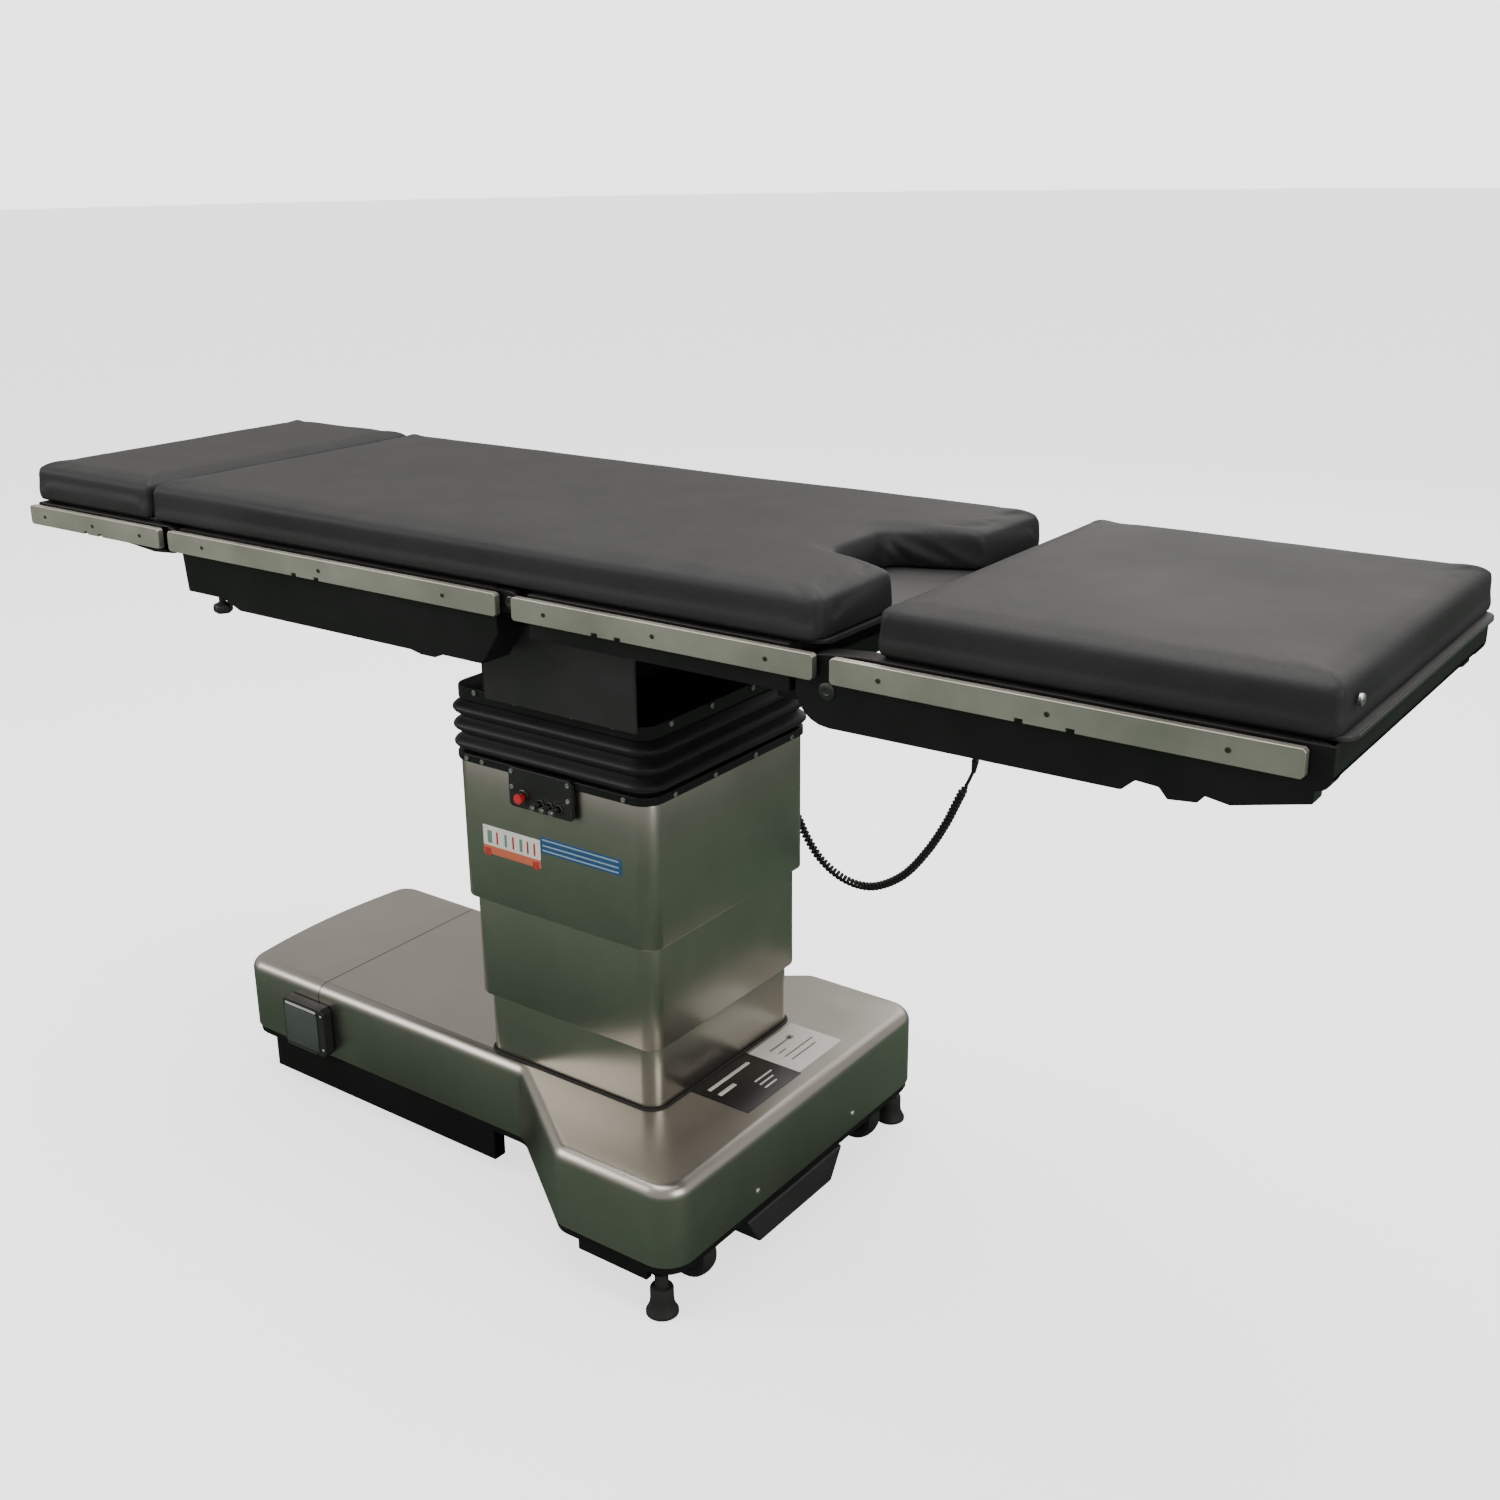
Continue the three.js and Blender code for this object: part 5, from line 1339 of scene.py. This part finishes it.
def flat_labels(name, key, places, face, proud, corner):
    """Like thin stickers in one piece; each place is x from and to, then z from and to."""
    shape = Shape()
    for place in places:
        shape.add(sticker_form(*place, face, proud=proud, corner=corner))
    return fixed(smooth(shape.build(name)), key, "carriage", slot="stainless")


class BuildColumn(bpy.types.Operator):
    """Makes the three steel shrouds of the column, the guide tube and the stickers"""

    bl_idname = "optable.column"
    bl_label = "Column"

    def execute(self, context):
        for node in ("lower_shroud", "middle_shroud", "upper_shroud"):
            low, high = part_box(node)
            form = shroud_form(box_corners(node, 0.024), low.z, high.z)
            name = node.replace("_", "_steel_")
            finished(form, name, "shroud_steel", body_of_node(node), [node], angle=30)
        softened("guide_tube", "column_guide", "machined", 0.001, 2)

        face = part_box("upper_shroud")[0].y
        bars = [(x, x + wide, *BARS_Z) for x, wide in ((-0.155, 0.008), (-0.124, 0.004), (-0.097, 0.005))]
        thin = [(x, x + 0.003, *BARS_Z) for x in (-0.139, -0.110, -0.084, -0.072)]
        marks = [(x, x + 0.011, 0.5095, 0.5205) for x in (-0.161, -0.0745)]
        lines = [(-0.056, 0.074, z, z + 0.0022) for z in (0.5545, 0.5465, 0.5395)]
        for name, key, places, proud, corner in (
            ("asset_label", "label_white", [(-0.163, -0.060, 0.5245, 0.5535)], 0, 0.0012),
            ("asset_label_foot", "label_orange", [(-0.163, -0.060, 0.5125, 0.5245)], 0, 0.0012),
            ("asset_label_marks", "label_red", marks, LAYER, 0.0012),
            ("asset_label_bars", "label_green", bars, LAYER, 0.0005),
            ("asset_label_thin_bars", "label_red", thin, LAYER, 0.0005),
            ("service_label", "label_blue", [(-0.059, 0.079, 0.5365, 0.5595)], 0, 0.0012),
            ("service_label_lines", "label_pale", lines, LAYER, 0.0006),
        ):
            flat_labels(name, key, places, face, proud, corner)
        return {"FINISHED"}


class BuildPanel(bpy.types.Operator):
    """Makes the override panel with its red button, three toggles and corner screws"""

    bl_idname = "optable.override"
    bl_label = "Override panel"

    def execute(self, context):
        softened("override_panel", "override_plate", "panel", 0.0008, 2)
        low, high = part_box("override_panel")
        face = low.y
        heights = (high.z - 0.006, low.z + 0.0275)
        places = [(NEAR, (x, face, z)) for x in (low.x + 0.006, high.x - 0.006) for z in heights]
        screw_set("override_screws", places, (0.0034, 0.0018), "carriage")

        a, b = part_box("override_button")
        centre = (a + b) / 2
        radius = (b.x - a.x) / 2
        length = 0.009
        stem = [(0, -0.0062), (0.0034, -0.0062), (0.0034, 0)]
        neck = [(radius * 0.8, 0), (radius * 0.8, length * 0.45)]
        head = [(radius * r, length * z) for r, z in ((1, 0.55), (1, 0.86), (0.9, 0.96), (0.5, 1), (0, 1))]
        turn = facing(NEAR, (centre.x, a.y + length, centre.z))
        button = lathe(stem + neck + head)
        finished(button, "red_push_button", "red", "red_button", ["override_button"], at=turn)
        collars = Shape()
        collar = [(0.0062, 0), (0.0095, 0), (0.0095, 0.0009), (0.0088, 0.0014)]
        collar += [(0.0066, 0.0014), (0.0062, 0.0009)]
        collars.add(lathe(collar), facing(NEAR, (centre.x, face, centre.z)))
        for i in (1, 2, 3):
            node = f"override_switch_{i}"
            a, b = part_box(node)
            middle = (a + b) / 2
            reach = face - a.y
            bat = [(0, -0.009), (0.0022, -0.009), (0.0022, 0.001), (0.0028, reach * 0.3)]
            bat += [(0.0039, reach * 0.75), (0.004, reach * 0.88), (0.003, reach * 0.97), (0, reach)]
            turn = facing(NEAR, (middle.x, face, middle.z))
            finished(lathe(bat, 20), f"override_toggle_{i}", "lever", f"switch_{i}", [node], at=turn)
            nut = [(0.0052, 0), (0.0068, 0), (0.0068, 0.0014), (0.0062, 0.002), (0.0052, 0.002)]
            collars.add(lathe(nut, 6), turn)
        fixed(smooth(collars.build("override_collars")), "dark_steel", "carriage", slot="bright_steel")
        return {"FINISHED"}


# Base


def base_cover_form():
    """The pressed steel cover: straight sides, a soft top edge, and a collared opening for the column."""
    low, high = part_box("base_cover")
    edge = 0.018
    rows = [(0.0022, low.z + 0.0004), (0.0004, low.z), (0, low.z + 0.001)]
    for k in range(9):
        angle = k / 8 * math.pi / 2
        rows.append((edge * (1 - math.cos(angle)), high.z - edge * (1 - math.sin(angle))))
    rings = ringed(BASE_CORNERS, rows, 10)
    a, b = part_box("lower_shroud")
    gap = 0.001
    opening = rectangle(a.x - gap, b.x + gap, a.y - gap, b.y + gap, 0.025)
    rows = [(-0.003, high.z), (-0.0008, high.z - 0.0007), (0, high.z - 0.003), (0, high.z - 0.014)]
    rim = ringed(opening, rows, 8)
    shape = Shape().add(stack(rings, ends=False))
    outer_first = len(shape.points) - len(rings[-1])
    inner_first = len(shape.points)
    shape.add(stack(rim, ends=False))
    inner_count = len(rim[0])
    outer = shape.points[outer_first:inner_first]
    inner = shape.points[inner_first : inner_first + inner_count]
    index = range(outer_first, inner_first + inner_count)
    for triangle in tessellate_polygon([outer, inner]):
        corners = [index[i] for i in triangle]
        p, q, r = (shape.points[i] for i in corners)
        if (q - p).cross(r - p).z < 0:
            corners.reverse()
        shape.faces.append(corners)
    for face in shape.faces[len(rings[0]) * (len(rings) - 1) :][: inner_count * (len(rim) - 1)]:
        face.reverse()
    return shape


# Plates and their bars: name, finish, height over the cover, and places (x from and to, y from and to)
PLATE_LAYER = 0.0006
RATING_PLATES = (
    ("rating_plate_dark", "plate_dark", 0, [(0.114, 0.210, -0.090, 0.038)]),
    ("rating_plate_pale", "plate_white", 0, [(0.119, 0.206, 0.037, 0.147)]),
    (
        "rating_bars_pale",
        "plate_white",
        PLATE_LAYER,
        [
            (0.131, 0.137, -0.075, 0.018),
            (0.149, 0.156, -0.076, -0.040),
            (0.170, 0.173, -0.020, 0.020),
            (0.180, 0.183, -0.022, 0.010),
            (0.190, 0.193, -0.024, 0.004),
        ],
    ),
    (
        "rating_bars_dark",
        "plate_grey",
        PLATE_LAYER,
        [
            (0.140, 0.143, 0.060, 0.112),
            (0.154, 0.156, 0.062, 0.080),
            (0.136, 0.145, 0.106, 0.116),
            (0.166, 0.168, 0.060, 0.130),
            (0.178, 0.180, 0.060, 0.120),
        ],
    ),
)


class BuildBase(bpy.types.Operator):
    """Makes the base: its cover, frame, end housing, power inlet, plates and seam"""

    bl_idname = "optable.base"
    bl_label = "Base"

    def execute(self, context):
        cover = base_cover_form().build("base_steel_cover")
        wall = cover.modifiers.new("wall", "SOLIDIFY")
        wall.thickness = 0.002
        wall.offset = -1
        settle(cover)
        smooth(cover, 40)
        fixed(cover, "cover_steel", "base", ["base_cover"])
        softened("base_frame", "base_casting", "iron", 0.0015, 2)
        softened("end_housing", "end_housing_case", "plastic", 0.003, 3)
        softened("inlet_box", "inlet_case", "plastic", 0.002, 3)

        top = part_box("base_cover")[1].z
        self.rating_plates(top)
        self.column_gasket(top)
        self.seam(top)
        self.inlet()
        places = [(LEG_WAY, (0.245, y, 0.103)) for y in (-0.117, 0.117)]
        screw_set("cover_screws", places, (0.0045, 0.002), "base", form=pan_screw)
        return {"FINISHED"}

    def rating_plates(self, top):
        """Two thin plates on the cover's top, with plain bars where print would be."""
        for name, key, height, places in RATING_PLATES:
            z = top + height
            shape = Shape()
            for place in places:
                outline = rectangle(*place, 0.0012)
                shape.add(plate(outline, z - 0.0001, z + PLATE_LAYER / 2, 0.0001, 3))
            fixed(smooth(shape.build(name)), key, "base", slot="stainless")

    def column_gasket(self, top):
        """The dark seal in the joint between the cover and the column's foot."""
        a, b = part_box("lower_shroud")
        corners = rectangle(a.x, b.x, a.y, b.y, 0.024)
        rows = [
            (-0.0046, top + 0.0002),
            (-0.0042, top + 0.0014),
            (-0.0012, top + 0.0022),
            (-0.0003, top + 0.0016),
            (-0.0003, top - 0.002),
        ]
        seal = Shape().add(stack(ringed(corners, rows, 8), closed=True))
        fixed(outward(smooth(seal.build("column_foot_seal"), 50)), "rubber", "base", slot="black_rubber")

    def inlet(self):
        """The flap over the power inlet, its strap, its hinge strip and two screws."""
        a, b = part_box("inlet_box")
        face = a.y
        for name, key, x0, x1, z0, z1, thickness, corner in (
            ("inlet_flap", "flap", a.x + 0.005, b.x - 0.014, a.z + 0.006, b.z - 0.012, 0.0016, 0.004),
            ("inlet_strap", "strap", a.x + 0.008, b.x - 0.016, b.z - 0.010, b.z - 0.006, 0.0018, 0.0015),
            ("inlet_hinge", "plastic", a.x + 0.006, b.x - 0.020, a.z + 0.001, a.z + 0.004, 0.002, 0.001),
        ):
            form = sticker_form(x0, x1, z0, z1, face, thickness, corner=corner)
            finished(form, name, key, "base", slot="black_plastic")
        places = [(NEAR, (b.x - 0.006, face, z)) for z in (a.z + 0.012, b.z - 0.012)]
        screw_set("inlet_screws", places, (0.0026, 0.0012), "base", form=pan_screw)

    def seam(self, top):
        """The joint between the cover's two sheets, as a thin dark strip over its sides and top."""
        x, half, edge = -0.540, 0.177, 0.018
        out = 0.0002
        bend = edge + out
        path = [(-half - out, 0.081), (-half - out, top - edge)]
        for k in range(1, 8):
            angle = k / 8 * math.pi / 2
            path.append((-half + edge - bend * math.cos(angle), top - edge + bend * math.sin(angle)))
        path.append((-half + edge, top + out))
        path += [(-y, z) for y, z in reversed(path)]
        half_width, depth = 0.0007, 0.0006
        shoulder = 0.18
        points = [(x + side * half_width, y, z) for y, z in path for side in (-1, 1)]
        shrunk = 1 - depth / half
        inner = [(px, py * shrunk, pz - (depth if pz > shoulder else 0)) for px, py, pz in points]
        faces = []
        count = len(points)
        for i in range(0, count - 2, 2):
            faces.append([i, i + 1, i + 3, i + 2])
            faces.append([count + i + 2, count + i + 3, count + i + 1, count + i])
            faces.append([i, i + 2, count + i + 2, count + i])
            faces.append([i + 3, i + 1, count + i + 1, count + i + 3])
        faces.append([1, 0, count, count + 1])
        faces.append([count - 2, count - 1, 2 * count - 1, 2 * count - 2])
        strip = smooth(Shape().add((points + inner, faces)).build("cover_seam"), 50)
        fixed(outward(strip), "dark_steel", "base", slot="stainless")


# The rubber foot of a floor lock, up to its stem, as radius and height
FOOT_PROFILE = [
    (0, 0),
    (0.0195, 0),
    (0.0215, 0.0015),
    (0.0215, 0.005),
    (0.0205, 0.0066),
    (0.0178, 0.012),
    (0.0162, 0.017),
    (0.0155, 0.024),
    (0.0155, 0.0385),
    (0.0145, 0.0405),
    (0.009, 0.0405),
]


class BuildRunningGear(bpy.types.Operator):
    """Makes the floor locks, the casters and their wheels"""

    bl_idname = "optable.running_gear"
    bl_label = "Floor locks and casters"

    def execute(self, context):
        for spot in ("head_near", "head_far", "leg_near", "leg_far"):
            node = f"floor_lock_{spot}"
            low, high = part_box(node)
            x, y = (low.x + high.x) / 2, (low.y + high.y) / 2
            stem = [(0.009, high.z - 0.001), (0.008, high.z), (0, high.z)]
            foot = lathe(FOOT_PROFILE + stem, 40)
            place = Matrix.Translation((x, y, 0))
            finished(foot, f"floor_foot_{spot}", "rubber", "floor_locks", [node], angle=40, at=place)

            fork = f"caster_fork_{spot}"
            softened(fork, f"caster_bracket_{spot}", "machined", 0.0008, 2)
            wheel = f"caster_wheel_{spot}"
            low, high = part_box(wheel)
            centre = (low + high) / 2
            radius = (high.z - low.z) / 2
            half = (high.y - low.y) / 2
            tread = [
                (0.0066, -half + 0.004),
                (0.0066, -half),
                (0.012, -half),
                (0.014, -half + 0.003),
                (radius * 0.62, -half + 0.003),
                (radius * 0.68, -half + 0.0005),
                (radius * 0.86, -half + 0.0005),
                (radius * 0.97, -half + 0.005),
                (radius, -half + 0.011),
            ]
            profile = tread + [(r, -h) for r, h in reversed(tread)]
            tyre = turned_ring(profile, 48)
            turn = facing(FAR, centre)
            finished(tyre, f"caster_tyre_{spot}", "rubber", f"wheel_{spot}", [wheel], angle=40, at=turn)
        return {"FINISHED"}


class BuildKnob(bpy.types.Operator):
    """Makes the lobed knob that locks the head section"""

    bl_idname = "optable.knob"
    bl_label = "Head lock knob"

    def execute(self, context):
        low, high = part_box("head_lock_knob")
        x, y = (low.x + high.x) / 2, (low.y + high.y) / 2
        segments = 60

        def lobed(radius, z, depth):
            ring = []
            for k in range(segments):
                angle = 2 * math.pi * k / segments
                r = radius - depth * (0.5 - 0.5 * math.cos(5 * angle))
                ring.append((x + r * math.cos(angle), y + r * math.sin(angle), z))
            return ring

        body = high.z - 0.012
        rows = (
            (0.0105, low.z, 0.0012),
            (0.0128, low.z + 0.0012, 0.0024),
            (0.014, low.z + 0.0035, 0.003),
            (0.014, body - 0.0035, 0.003),
            (0.0128, body - 0.0012, 0.0024),
            (0.0105, body, 0.0012),
            (0.0075, body, 0.0),
            (0.0072, body + 0.0015, 0.0),
            (0.005, body + 0.0018, 0.0),
            (0.005, high.z, 0.0),
        )
        rings = [lobed(*row) for row in rows]
        finished(stack(rings), "head_lock_grip", "plastic", "lock_knob", ["head_lock_knob"], angle=40)
        return {"FINISHED"}


class TablePanel(bpy.types.Panel):
    """Lists the steps that build the table"""

    bl_idname = "VIEW3D_PT_operating_table"
    bl_label = "Operating table"
    bl_space_type = "VIEW_3D"
    bl_region_type = "UI"
    bl_category = "Operating table"

    def draw(self, context):
        for step in STEPS:
            self.layout.operator(step.bl_idname)
        for group in ("table_sizes", "table_colours", "table_camera"):
            settings = getattr(context.scene, group)
            for name in settings.bl_rna.properties.keys():
                if name not in ("rna_type", "name"):
                    self.layout.prop(settings, name)


STEPS = (
    BuildStage,
    BuildHandControl,
    BuildPads,
    BuildBoards,
    BuildRails,
    BuildFrames,
    BuildSaddle,
    BuildBellows,
    BuildColumn,
    BuildPanel,
    BuildBase,
    BuildRunningGear,
    BuildKnob,
)
CLASSES = (TableSizes, TableColours, TableCamera, TablePanel, *STEPS)


def register():
    for kind in CLASSES:
        bpy.utils.register_class(kind)
    bpy.types.Scene.table_sizes = PointerProperty(type=TableSizes)
    bpy.types.Scene.table_colours = PointerProperty(type=TableColours)
    bpy.types.Scene.table_camera = PointerProperty(type=TableCamera)


def unregister():
    del bpy.types.Scene.table_camera
    del bpy.types.Scene.table_colours
    del bpy.types.Scene.table_sizes
    for kind in reversed(CLASSES):
        bpy.utils.unregister_class(kind)


def main():
    register()
    for step in STEPS:
        group, name = step.bl_idname.split(".")
        getattr(getattr(bpy.ops, group), name)()
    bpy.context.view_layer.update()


if __name__ == "__main__":
    main()
